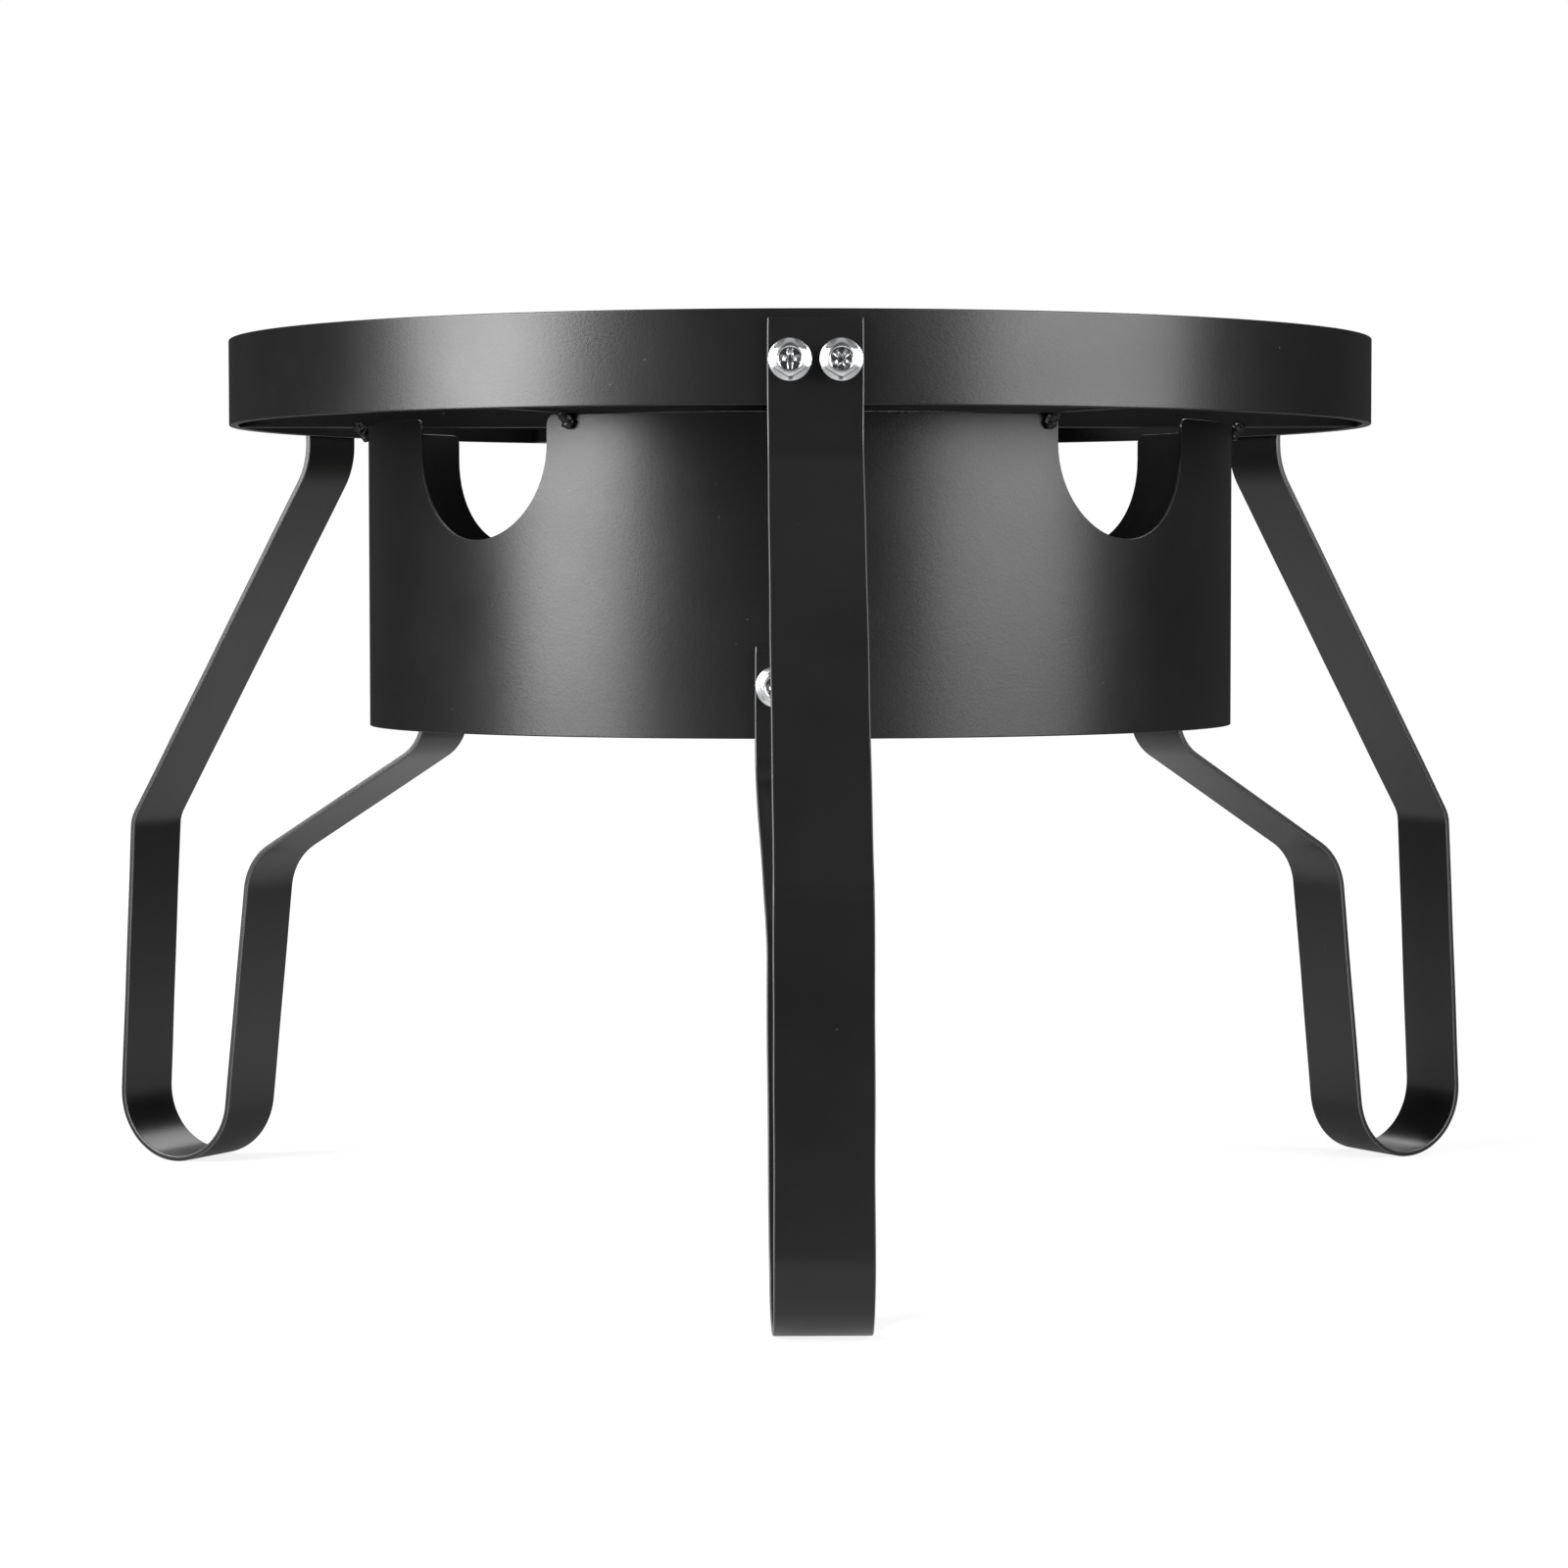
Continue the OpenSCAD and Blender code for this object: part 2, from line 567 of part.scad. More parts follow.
// Cast bowl, mixer tube and bell in one piece
module burner_body() {
    color(iron) difference() {
        union() {
            stand() translate([0, 0, bowl_bottom]) cylinder(h = bowl_h, d = bowl_d);
            stand() translate([0, 0, bracket_top]) cylinder(h = boss_h + over, d = boss_d);
            on_tube(0) cylinder(h = cone_y + over, r = tube_r);
            on_tube(cone_y) cylinder(h = bell_cone_l, r1 = tube_r, r2 = bell_r);
            on_tube(bell_y) cylinder(h = bell_l, r = bell_r);
            on_tube(web_y - over) rotate([0, 0, peg_angle])
                translate([peg_r, 0, 0])
                    cylinder(h = over + journal_l - shutter_gap, d = peg_d, $fn = 32);
        }
        stand() translate([0, 0, bowl_bottom + bowl_floor])
            cylinder(h = bowl_h, r = bowl_in_r);
        stand() translate([0, 0, bracket_top - over])
            cylinder(h = bolt_l - bracket_t - washer_t + 2 * over, d = bolt_d + 2 * thread_fit, $fn = 48);
        for (a = cap_screw_angles) stand() rotate([0, 0, a])
            translate([cap_screw_r, 0, rim_z - cap_screw_l + cap_t - over])
                cylinder(h = cap_screw_l, d = cap_screw_d + 2 * thread_fit, $fn = 32);
        on_tube(bowl_in_r - bowl_wall) cylinder(h = cone_y, r = tube_in_r);
        difference() {
            union() {
                on_tube(cone_y) cylinder(h = bell_cone_l, r1 = tube_in_r, r2 = bell_in_r);
                on_tube(bell_y - over) cylinder(h = bell_l - web_t + over, r = bell_in_r);
            }
            on_tube(web_y - boss_back) cylinder(h = boss_back, r = web_boss_r);
        }
        on_tube(web_y - boss_back - over)
            cylinder(h = boss_back + 2 * over, d = spud_d + 2 * thread_fit);
        for (k = [0:window_n - 1]) on_tube(web_y - web_t - over)
            rotate([0, 0, 360 * k / window_n]) translate([window_r, 0, 0])
                cylinder(h = web_t + 2 * over, d = window_d, $fn = 48);
    }
}

// Cap with rings of flame ports, located by a spigot in the bowl
module burner_cap() {
    color(iron) stand() difference() {
        union() {
            translate([0, 0, rim_z]) cylinder(h = cap_t, r = cap_r);
            translate([0, 0, rim_z - spigot_h])
                cylinder(h = spigot_h + over, r = bowl_in_r - cap_fit);
        }
        for (ring = [0:port_rings - 1]) {
            pcd = port_first_d + ring * port_step_d;
            count = 6 * floor(pcd / port_six_d);
            for (k = [0:count - 1]) rotate([0, 0, 360 * k / count])
                translate([pcd / 2, 0, rim_z - spigot_h - over])
                    cylinder(h = spigot_h + cap_t + 2 * over, d = port_d, $fn = 16);
        }
        for (a = cap_screw_angles) rotate([0, 0, a])
            translate([cap_screw_r, 0, rim_z - over])
                cylinder(h = cap_t + 2 * over, d = cap_screw_d + 2 * hole_fit, $fn = 32);
    }
}

module cap_screws() {
    color(steel) stand() for (a = cap_screw_angles) rotate([0, 0, a])
        translate([cap_screw_r, 0, cap_top]) difference() {
            union() {
                translate([0, 0, -cap_screw_l + over])
                    cylinder(h = cap_screw_l, d = cap_screw_d, $fn = 32);
                cylinder(h = cap_head_h, d = cap_head_d, $fn = 32);
            }
            rotate([0, 0, 20 + a])
                translate([-cap_head_d / 2 - over, -cap_slot / 2, cap_head_h - cap_slot])
                    cube([cap_head_d + 2 * over, cap_slot, cap_slot + over]);
        }
}

module burner_bolt() {
    color(zinc) stand() translate([0, 0, bracket_z - washer_t]) {
        cylinder(h = bolt_l, d = bolt_d, $fn = 48);
        translate([0, 0, -bolt_head_h]) hex(bolt_af, bolt_head_h);
    }
}

// Split spring washer
module burner_lock_washer() {
    color(steel) stand() translate([0, 0, bracket_z - washer_t]) difference() {
        cylinder(h = washer_t, d = washer_d, $fn = 48);
        translate([0, 0, -over])
            cylinder(h = washer_t + 2 * over, d = bolt_d + 2 * hole_fit, $fn = 48);
        rotate([0, 0, 40]) translate([0, -washer_split / 2, -over])
            cube([washer_d, washer_split, washer_t + 2 * over]);
    }
}

// Plate that turns on the journal: its windows match the bell's at rest
module air_shutter() {
    color(steel) on_tube(web_y + shutter_gap) difference() {
        union() {
            cylinder(h = shutter_t, r = shutter_r);
            rotate([0, 0, -90]) translate([shutter_r - 2, -tab_w / 2, 0])
                cube([tab_l, tab_w, shutter_t]);
        }
        translate([0, 0, -over])
            cylinder(h = shutter_t + 2 * over, d = journal_d + 2 * shutter_fit);
        for (k = [0:window_n - 1]) rotate([0, 0, 360 * k / window_n])
            translate([window_r, 0, -over])
                cylinder(h = shutter_t + 2 * over, d = window_d, $fn = 48);
        translate([0, 0, -over]) rotate([0, 0, peg_angle - shutter_travel - peg_half])
            rotate_extrude(angle = shutter_travel + 2 * peg_half)
                translate([peg_r - peg_d / 2 - shutter_gap, 0])
                    square([bell_r, shutter_t + 2 * over]);
    }
}

// Dished spring washer that presses the shutter towards the bell
module shutter_spring() {
    y0 = web_y + shutter_gap + shutter_t + shutter_gap;
    room = hex_y - y0;
    bore_r = journal_d / 2 + hole_fit;
    color(steel) on_tube(y0) rotate_extrude()
        polygon([[bore_r, room - spring_t], [bore_r + spring_w, 0],
                 [bore_r + spring_w, spring_t], [bore_r, room]]);
}

// Brass jet, journal and hexagon in one turned piece
module orifice_holder() {
    color(brass) difference() {
        union() {
            on_tube(web_y - boss_back - jet_l) cylinder(h = jet_l + over, d = jet_d, $fn = 48);
            on_tube(web_y - boss_back) cylinder(h = boss_back + over, d = spud_d);
            on_tube(web_y) cylinder(h = journal_l + over, d = journal_d);
            on_tube(hex_y) hex(spud_af, spud_hex_t);
        }
        on_tube(web_y - boss_back - jet_l - over)
            cylinder(h = back_reach, d = jet_bore, $fn = 24);
        on_tube(web_y - boss_back) cylinder(h = back_reach, d = gas_bore, $fn = 48);
        on_tube(hex_y) cylinder(h = spud_hex_t + over, d = joint_d + 2 * thread_fit, $fn = 48);
    }
}

// Inlet adapter with a flare thread for the hose
module gas_inlet() {
    color(brass) difference() {
        union() {
            on_tube(hex_y + 1) cylinder(h = spud_hex_t, d = joint_d, $fn = 48);
            on_tube(inlet_y) hex(inlet_af, inlet_hex_t);
            on_tube(thread_y) cylinder(h = flare_l, d = flare_d);
            on_tube(thread_y + flare_l)
                cylinder(h = flare_cone_l, r1 = flare_d / 2, r2 = flare_d / 2 - flare_cone_l);
        }
        on_tube(hex_y) cylinder(h = back_reach, d = gas_bore, $fn = 48);
    }
}

top_ring();
cross_bar();
support_arm_front_left();
support_arm_front_right();
support_arm_rear_left();
support_arm_rear_right();
windscreen();
front_leg();
left_leg();
right_leg();
ring_screws();
ring_nuts();
windscreen_screws();
windscreen_nuts();
burner_bracket();
burner_body();
burner_cap();
cap_screws();
burner_bolt();
burner_lock_washer();
air_shutter();
shutter_spring();
orifice_holder();
gas_inlet();
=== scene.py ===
import math

import bmesh
import bpy
import numpy as np
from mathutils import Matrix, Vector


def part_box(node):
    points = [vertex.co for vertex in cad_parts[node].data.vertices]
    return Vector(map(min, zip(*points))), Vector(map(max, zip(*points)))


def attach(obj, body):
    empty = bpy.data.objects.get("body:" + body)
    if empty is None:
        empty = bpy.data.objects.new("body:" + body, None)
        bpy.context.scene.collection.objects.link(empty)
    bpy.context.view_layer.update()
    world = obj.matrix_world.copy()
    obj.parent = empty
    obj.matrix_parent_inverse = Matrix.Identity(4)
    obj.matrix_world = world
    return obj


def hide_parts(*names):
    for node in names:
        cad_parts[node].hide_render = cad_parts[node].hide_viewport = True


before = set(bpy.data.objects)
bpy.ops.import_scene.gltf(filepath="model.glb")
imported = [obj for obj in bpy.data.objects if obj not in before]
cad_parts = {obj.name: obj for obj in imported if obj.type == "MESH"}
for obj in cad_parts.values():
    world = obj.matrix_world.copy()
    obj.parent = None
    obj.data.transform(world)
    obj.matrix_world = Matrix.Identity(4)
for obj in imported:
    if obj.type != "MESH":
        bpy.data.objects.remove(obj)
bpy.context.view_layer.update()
mm = 0.001


# ---- Top ring ---------------------------------------------------------------
# Hot-rolled flat bar, 30 x 3 mm, rolled on edge into a hoop and butt welded. Everything else
# is bolted or welded to it. It is coated, with all the welded steel, in satin black powder.

ring_low, ring_high = (np.array(corner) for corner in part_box("top_ring"))
stand_axis = (ring_low + ring_high) / 2 * [1, 1, 0]
ring_r = (ring_high[0] - ring_low[0]) / 2
ring_t = 3 * mm
ring_top = ring_high[2]
ring_bottom = ring_low[2]
# The ring's edge radius, and how much lighter grey its edges are painted: worn coat and a painted
# highlight
ring_edge, ring_wear_and_highlight = 0.35 * mm, 0.03
ring_steps = 240


def bar_outline(width, thick, edge, steps=5):
    """Cross-section of flat bar as (across, out) points: a rectangle with quarter-round corners,
    and a point just inside both ends of each straight, which keeps the flats flat when shaded."""
    turn = np.linspace(0, math.pi / 2, steps)
    round_part = np.array([width / 2 - edge, thick / 2 - edge]) + edge * np.stack(
        [np.cos(turn), np.sin(turn)], -1)
    before = [width / 2, (thick / 2 - edge) * 0.5]
    after = [width / 2 - edge * 1.8, thick / 2]
    corner = np.vstack([before, round_part, after])
    return np.vstack([corner, corner[::-1] * [-1, 1], -corner, corner[::-1] * [1, -1]])


def edge_wear_and_highlight(share, steps=5):
    """How much lighter the coat is painted on each point of bar_outline, as worn coat and a painted
    highlight along the edge: share at the middle of each corner.
    """
    corner = np.concatenate([[0], np.sin(np.linspace(0, math.pi, steps)) * share, [0]])
    return np.concatenate([corner, corner[::-1], corner, corner[::-1]])


def shell(grid, hoop=False, wear_highlight_and_shade=0.0):
    """Closed skin over grid[row, column]: one quad per cell, each row joined end to end.
    A hoop's rows also join last to first; other shells get one flat face on each end row.
    The last argument gives, from 0 to 1 for all points or for each column, the lighter grey painted on the
    coat's edges as wear and highlight, and the shade painted on zinc."""
    rows, columns = grid.shape[:2]
    index = np.arange(rows * columns).reshape(rows, columns)
    here = index if hoop else index[:-1]
    there = np.roll(index, -1, 0) if hoop else index[1:]
    quads = np.stack([here, np.roll(here, -1, 1), np.roll(there, -1, 1), there], -1)
    ends = [] if hoop else [index[0].tolist(), index[-1].tolist()]
    return (grid.reshape(-1, 3), quads.reshape(-1, 4).tolist() + ends,
            np.broadcast_to(wear_highlight_and_shade, (rows, columns)).reshape(-1))


def around(out, height, turn):
    """Points at distance out from the stand's axis, at that height and turned by that angle."""
    out, height, turn = np.broadcast_arrays(out, height, turn)
    return np.stack([out * np.cos(turn), out * np.sin(turn), height], -1)


def finished(name, mesh, coat, nodes, body="stand"):
    """Shows a mesh as a piece of the stand, in place of the CAD nodes that it stands for."""
    made = bpy.data.objects.new(name, mesh)
    bpy.context.scene.collection.objects.link(made)
    made.data.materials.clear()
    made.data.materials.append(coat)
    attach(made, body)
    if nodes:
        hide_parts(*nodes)
    return made


def piece(name, shells, coat, nodes=(), body="stand", crease=None):
    """One piece from shells whose points are measured from the stand's axis. Edges that turn by
    more than crease degrees are shaded sharp."""
    starts = np.cumsum([0] + [len(points) for points, faces, wear_highlight_and_shade in shells])
    points = np.vstack([points for points, faces, wear_highlight_and_shade in shells]) + stand_axis
    faces = [[start + corner for corner in face]
             for start, (_, its_faces, _) in zip(starts.tolist(), shells) for face in its_faces]
    mesh = bpy.data.meshes.new(name)
    mesh.from_pydata(points.tolist(), [], faces)
    mesh.attributes.new("coat_wear_highlight_and_shade", "FLOAT", "POINT").data.foreach_set(
        "value", np.concatenate([wear_highlight_and_shade for points, faces, wear_highlight_and_shade in shells]).astype(np.float32))
    work = bmesh.new()
    work.from_mesh(mesh)
    bmesh.ops.recalc_face_normals(work, faces=work.faces)
    work.to_mesh(mesh)
    work.free()
    mesh.shade_smooth()
    if crease:
        mesh.set_sharp_from_angle(angle=math.radians(crease))
    return finished(name, mesh, coat, nodes, body)


def paint_shop(name):
    """A node material, with its tree's add(kind, inputs, settings) and wire(value, socket), its
    shader and Object coordinates. add links an input that is given as a socket, and sets others."""
    coat = bpy.data.materials.new(name)
    coat.use_nodes = True
    tree = coat.node_tree

    def add(kind, inputs=None, **settings):
        made = tree.nodes.new("ShaderNode" + kind)
        for key, value in settings.items():
            setattr(made, key, value)
        for key, value in (inputs or {}).items():
            if isinstance(value, bpy.types.NodeSocket):
                tree.links.new(value, made.inputs[key])
            else:
                made.inputs[key].default_value = value
        return made

    def wire(value, socket):
        tree.links.new(value, socket)

    coords = add("TexCoord").outputs["Object"]
    return coat, add, wire, tree.nodes["Principled BSDF"], coords


def mixed(add, share, low, high):
    """Colour that goes from low to high with share."""
    ramp = add("Mix", {0: share, 6: (*low, 1), 7: (*high, 1)}, data_type="RGBA")
    return ramp.outputs[2]


def spread(add, value, low, high, to_low, to_high):
    """value's range low..high carried to to_low..to_high, and held at both ends."""
    inputs = {"Value": value, "From Min": low, "From Max": high, "To Min": to_low, "To Max": to_high}
    return add("MapRange", inputs).outputs[0]


def powder_coat():
    """Satin black powder: fine orange peel, a slow drift of tone and gloss, specks of dust, and
    lighter grey edges, for worn coat and a painted highlight."""
    coat, add, wire, shader, coords = paint_shop("powder_coat")
    peel = add("TexNoise", {"Vector": coords, "Scale": 950, "Detail": 4, "Roughness": 0.6})
    flow = add("TexNoise", {"Vector": coords, "Scale": 260, "Detail": 2})
    drift = add("TexNoise", {"Vector": coords, "Scale": 22, "Detail": 4})
    cells = add("TexVoronoi", {"Vector": coords, "Scale": 165, "Randomness": 1})
    rare = add("TexNoise", {"Vector": coords, "Scale": 47, "Detail": 1})
    near = spread(add, cells.outputs["Distance"], 0.03, 0.055, 1, 0)
    some = spread(add, rare.outputs[0], 0.6, 0.66, 0, 0.5)
    dust = add("Math", {0: near, 1: some}, operation="MULTIPLY").outputs[0]
    black = mixed(add, drift.outputs[0], (0.0026, 0.0026, 0.0028), (0.0050, 0.0050, 0.0053))
    wear_highlight_and_shade = add("Attribute", attribute_name="coat_wear_highlight_and_shade").outputs["Fac"]
    # Lighter grey where the mesh marks the edges: worn coat and a painted highlight line
    worn_and_highlit = add("Mix", {0: wear_highlight_and_shade, 6: black, 7: (0.26, 0.26, 0.265, 1)}, data_type="RGBA")
    dusty = add("Mix", {0: dust, 6: worn_and_highlit.outputs[2], 7: (0.2, 0.19, 0.18, 1)}, data_type="RGBA")
    wire(dusty.outputs[2], shader.inputs["Base Color"])
    wire(spread(add, drift.outputs[0], 0.35, 0.65, 0.32, 0.36), shader.inputs["Roughness"])
    fine = add("Bump", {"Height": peel.outputs[0], "Distance": 0.00003, "Strength": 1.0})
    broad = add("Bump", {"Height": flow.outputs[0], "Distance": 0.00002, "Strength": 0.6,
                         "Normal": fine.outputs[0]})
    wire(broad.outputs[0], shader.inputs["Normal"])
    return coat


black_coat = powder_coat()
ring_section = bar_outline(ring_high[2] - ring_low[2], ring_t, ring_edge)
ring_turn = np.linspace(0, 2 * math.pi, ring_steps, endpoint=False)[:, None]
piece("top_ring_bar",
      [shell(around(ring_r - ring_t / 2 + ring_section[:, 1],
                    (ring_top + ring_bottom) / 2 + ring_section[:, 0], ring_turn), hoop=True,
             wear_highlight_and_shade=edge_wear_and_highlight(ring_wear_and_highlight))],
      black_coat, nodes=["top_ring"])


# ---- Pot-support bars -------------------------------------------------------
# Flat bar on edge, 30 x 4 mm, sheared to length: one bar across the ring and four arms from
# its middle, their tops flush with the ring's. Their ends are welded to the ring and the bar.

bar_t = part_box("cross_bar")[1][1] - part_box("cross_bar")[0][1]
# The bars' edge radius, and how much lighter grey their edges are painted: worn coat and a painted
# highlight
bar_edge, bar_wear_and_highlight = 0.5 * mm, 0.06
bar_ring_r = ring_r - ring_t
arm_turns = {"front_left": 240, "front_right": 300, "rear_left": 120, "rear_right": 60}
bar_rows = np.linspace(0, 1, 41)[:, None]
bar_section = bar_outline(ring_top - ring_bottom, bar_t, bar_edge)


def pot_bar(turn, start):
    """Bar section carried outwards from start(across) to the ring, along the direction turn."""
    across, height = bar_section[:, 1], (ring_top + ring_bottom) / 2 + bar_section[:, 0]
    along = start(across) + bar_rows * (np.sqrt(bar_ring_r**2 - across**2) - start(across))
    along, across, height = np.broadcast_arrays(along, across, height)
    return shell(np.stack([along * math.cos(turn) - across * math.sin(turn),
                           along * math.sin(turn) + across * math.cos(turn), height], -1),
                 wear_highlight_and_shade=edge_wear_and_highlight(bar_wear_and_highlight))


piece("cross_bar_flat", [pot_bar(0, lambda across: -np.sqrt(bar_ring_r**2 - across**2))],
      black_coat, nodes=["cross_bar"])
for place, degrees in arm_turns.items():
    turn = math.radians(degrees)
    side = 1 if degrees < 180 else -1
    piece("support_bar_" + place,
          [pot_bar(turn, lambda across: (side * bar_t / 2 - across * math.cos(turn)) / math.sin(turn))],
          black_coat, nodes=["support_arm_" + place])


# ---- Windscreen -------------------------------------------------------------
# One strip of 1 mm sheet rolled to a cylinder. Four round-bottomed notches are punched in its
# top edge for air, and a slot at the back lets the mixer tube in from below.

screen_low, screen_high = (np.array(corner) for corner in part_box("windscreen"))
screen_r = (screen_high[0] - screen_low[0]) / 2
screen_t = 1 * mm
screen_top, screen_bottom = screen_high[2], screen_low[2]
notch_half, notch_deep, notch_corner = 32 * mm, 41 * mm, 3 * mm
notch_bottom_r = notch_half - 0.5 * mm
notch_turn = -1
slot_half, slot_top, slot_corner = 18 * mm, 229.5 * mm, 0.3 * mm
slot_top_r = slot_half * 0.999
waist = screen_top - notch_deep - 4.7 * mm
screen_columns = 1440
fold = 0.14 * mm
flat_steps = 9
# How much lighter grey the sheet's rounded cut edges are painted, on the top edge and on the lower edge:
# worn coat and a painted highlight
lip_wear_and_highlight, hem_wear_and_highlight = [0.14, 0.06, 0.03], [0.04, 0.05, 0.1]


def rounded_path(corners, radii, samples=17):
    """Line through the corners with each inner corner rounded: an arc of the given radius that
    touches both straights, found from the turn there."""
    legs = np.diff(corners, axis=0)
    heading = np.arctan2(legs[:, 1], legs[:, 0])
    turn = (np.diff(heading) + math.pi) % (2 * math.pi) - math.pi
    side = np.sign(turn)
    ahead = np.stack([np.cos(heading[:-1]), np.sin(heading[:-1])], -1)
    left = np.stack([-ahead[:, 1], ahead[:, 0]], -1)
    start = corners[1:-1] - ahead * (radii * np.tan(np.abs(turn) / 2))[:, None]
    centre = start + left * (side * radii)[:, None]
    angle = (heading[:-1] - side * math.pi / 2)[:, None] + turn[:, None] * np.linspace(0, 1, samples)
    arcs = centre[:, None] + radii[:, None, None] * np.stack([np.cos(angle), np.sin(angle)], -1)
    return np.vstack([corners[:1], arcs.reshape(-1, 2), corners[-1:]])


def evenly(path, count):
    """count points at equal steps of length along a path."""
    length = np.concatenate([[0], np.cumsum(np.hypot(*np.diff(path, axis=0).T))])
    even = np.linspace(0, length[-1], count)
    return np.stack([np.interp(even, length, path[:, 0]), np.interp(even, length, path[:, 1])], -1)


def bitten_edge(along, height, reach, corners, radii, middle):
    """An edge line of (along, height) points with one bite: within reach of middle, the straight
    edge is exchanged for the rounded path, spread over the same columns."""
    inside = np.abs(along - middle) < reach
    bite = evenly(rounded_path(np.array(corners), np.array(radii)), inside.sum())
    along, height = along.copy(), height.copy()
    along[inside], height[inside] = middle + bite[:, 0], bite[:, 1]
    return along, height


def bite_line(reach, half, edge, bottom):
    """Square-cornered outline of a bite, half its width to each side, from the edge to its bottom."""
    return [(-reach, edge), (-half, edge), (-half, bottom), (half, bottom), (half, edge), (reach, edge)]


girth = 2 * math.pi * screen_r
waist_along = np.linspace(-girth / 2, girth / 2, screen_columns, endpoint=False) + girth / 2
edge_along, edge_height = waist_along, np.full(screen_columns, screen_top)
notch_reach = 50 * mm
notch_line = bite_line(notch_reach, notch_half, screen_top, screen_top - notch_deep)
for degrees in (45, 135, 225, 315):
    edge_along, edge_height = bitten_edge(
        edge_along, edge_height, notch_reach, notch_line,
        [notch_corner, notch_bottom_r, notch_bottom_r, notch_corner],
        screen_r * math.radians(degrees + notch_turn))
slot_reach = 45 * mm
slot_line = bite_line(slot_reach, slot_half, screen_bottom, slot_top)
at_back = girth * 0.25
foot_along, foot_height = bitten_edge(
    waist_along, np.full(screen_columns, screen_bottom), slot_reach, slot_line,
    [slot_corner, slot_top_r, slot_top_r, slot_corner], at_back)

# Each column runs from the lower edge over the waist to the upper edge on the outside, round
# the sheet's thickness, and back down inside.
climb = np.append(np.linspace(0, 1, flat_steps), 1)[None, :]
flat_inset = np.append(np.full(flat_steps, 3 * fold), fold)
round_in = np.array([0, 0.12, 0.5, 0.88, 1]) * screen_t
round_up = np.array([1, 0.3, 0, 0.3, 1]) * fold


def to_edge(along, height, inset):
    """Rows from the waist to an edge line, which stop short of it by inset. The last row but one
    stops a little earlier, which keeps the sheet flat when shaded."""
    share = climb * (1 - inset / np.hypot(along - waist_along, height - waist)[:, None])
    return (waist_along[:, None] + (along - waist_along)[:, None] * share,
            waist + (height - waist)[:, None] * share)


up_along, up_height = to_edge(edge_along, edge_height, flat_inset)
down_along, down_height = to_edge(foot_along, foot_height, flat_inset)
lip = [to_edge(edge_along, edge_height, inset) for inset in round_up[1:-1]]
hem = [to_edge(foot_along, foot_height, inset) for inset in round_up[1:-1]]
columns_along = np.hstack([down_along[:, :0:-1], up_along, *[part[0][:, -1:] for part in lip],
                           up_along[:, ::-1], down_along[:, 1:], *[part[0][:, -1:] for part in hem]])
columns_height = np.hstack([down_height[:, :0:-1], up_height, *[part[1][:, -1:] for part in lip],
                            up_height[:, ::-1], down_height[:, 1:], *[part[1][:, -1:] for part in hem]])
flat_rows = up_along.shape[1] + down_along.shape[1] - 1
columns_depth = np.concatenate([np.zeros(flat_rows), round_in[1:-1],
                                np.full(flat_rows, screen_t), round_in[-2:0:-1]])
# Lighter grey painted on the sheet's rounded cut edges: worn coat and a painted highlight
cut_edge = np.concatenate([np.zeros(flat_rows), lip_wear_and_highlight, np.zeros(flat_rows), hem_wear_and_highlight])
piece("windscreen_sheet",
      [shell(around(screen_r - columns_depth, columns_height, columns_along / screen_r), hoop=True,
             wear_highlight_and_shade=cut_edge)],
      black_coat, nodes=["windscreen"])


# ---- Welds ------------------------------------------------------------------
# Short hand-laid MIG beads, coated over with the rest: tacks that hang the windscreen from
# each bar, and upright beads where the bars meet the ring and the middle.

scale_pitch, scale_deep = 1.3 * mm, 0.10


def bead(start, end, radius, seed):
    """Lumpy worm from start to end: its radius follows a rounded envelope, ripples like the
    scales of a weld, and wanders at random."""
    chance = np.random.default_rng(seed)
    long = np.linalg.norm(end - start)
    along = np.linspace(-1, 1, 25)[:, None]
    turn = np.linspace(0, 2 * math.pi, 16, endpoint=False)[None, :]
    ahead = (end - start) / long
    side = np.cross(ahead, [0.36, 0.48, 0.8])
    side /= np.linalg.norm(side)
    up = np.cross(ahead, side)
    scales = scale_deep * np.sin(along * long / scale_pitch * math.pi + 0.6 * np.cos(turn))
    lumps = sum(chance.uniform(0.05, 0.14) * np.sin(k * turn + chance.uniform(0, 6))
                * np.cos(wave * along + chance.uniform(0, 6)) for k, wave in ((1, 3), (2, 6), (3, 4)))
    round_off = np.sqrt(np.clip(1 - np.abs(along) ** 3.5, 0.004, 1))
    size = radius * round_off * (1 + scales + lumps)
    middle = (start + end) / 2 + along * ((end - start) / 2 + ahead * radius * 0.5)
    return shell(middle[:, None] + size[..., None] * (np.cos(turn)[..., None] * side
                                                      + np.sin(turn)[..., None] * up))


def stand_point(turn, out, across, height):
    """Point at that distance along and across the direction turn from the stand's axis."""
    return np.array([out * math.cos(turn) - across * math.sin(turn),
                     out * math.sin(turn) + across * math.cos(turn), height])


# A tack's three points: out from the sheet, aside as a share of the bar's half thickness, and up
# from the sheet's top edge
tack_route = ((4.2 * mm, 1.3, 1.0 * mm), (1.8 * mm, 1.1, -1.4 * mm), (0.6 * mm, 0.7, -3.9 * mm))
tack_upper_r, tack_lower_r, bar_end_r, root_r = 2.0 * mm, 2.1 * mm, 1.7 * mm, 1.6 * mm
bar_end_out, bar_end_aside, root_aside = bar_ring_r - 0.6 * mm, bar_t / 2 + 0.7 * mm, bar_t * 0.62
bar_end_low, root_low, upright_high = ring_bottom + 9 * mm, ring_bottom + 2.5 * mm, ring_top - 3.5 * mm
bar_turns = [math.radians(degrees) for degrees in (0, 60, 120, 180, 240, 300)]
tack_hands = (-1, 1, -1, 1, -1, 1)
tacks, uprights = [], []
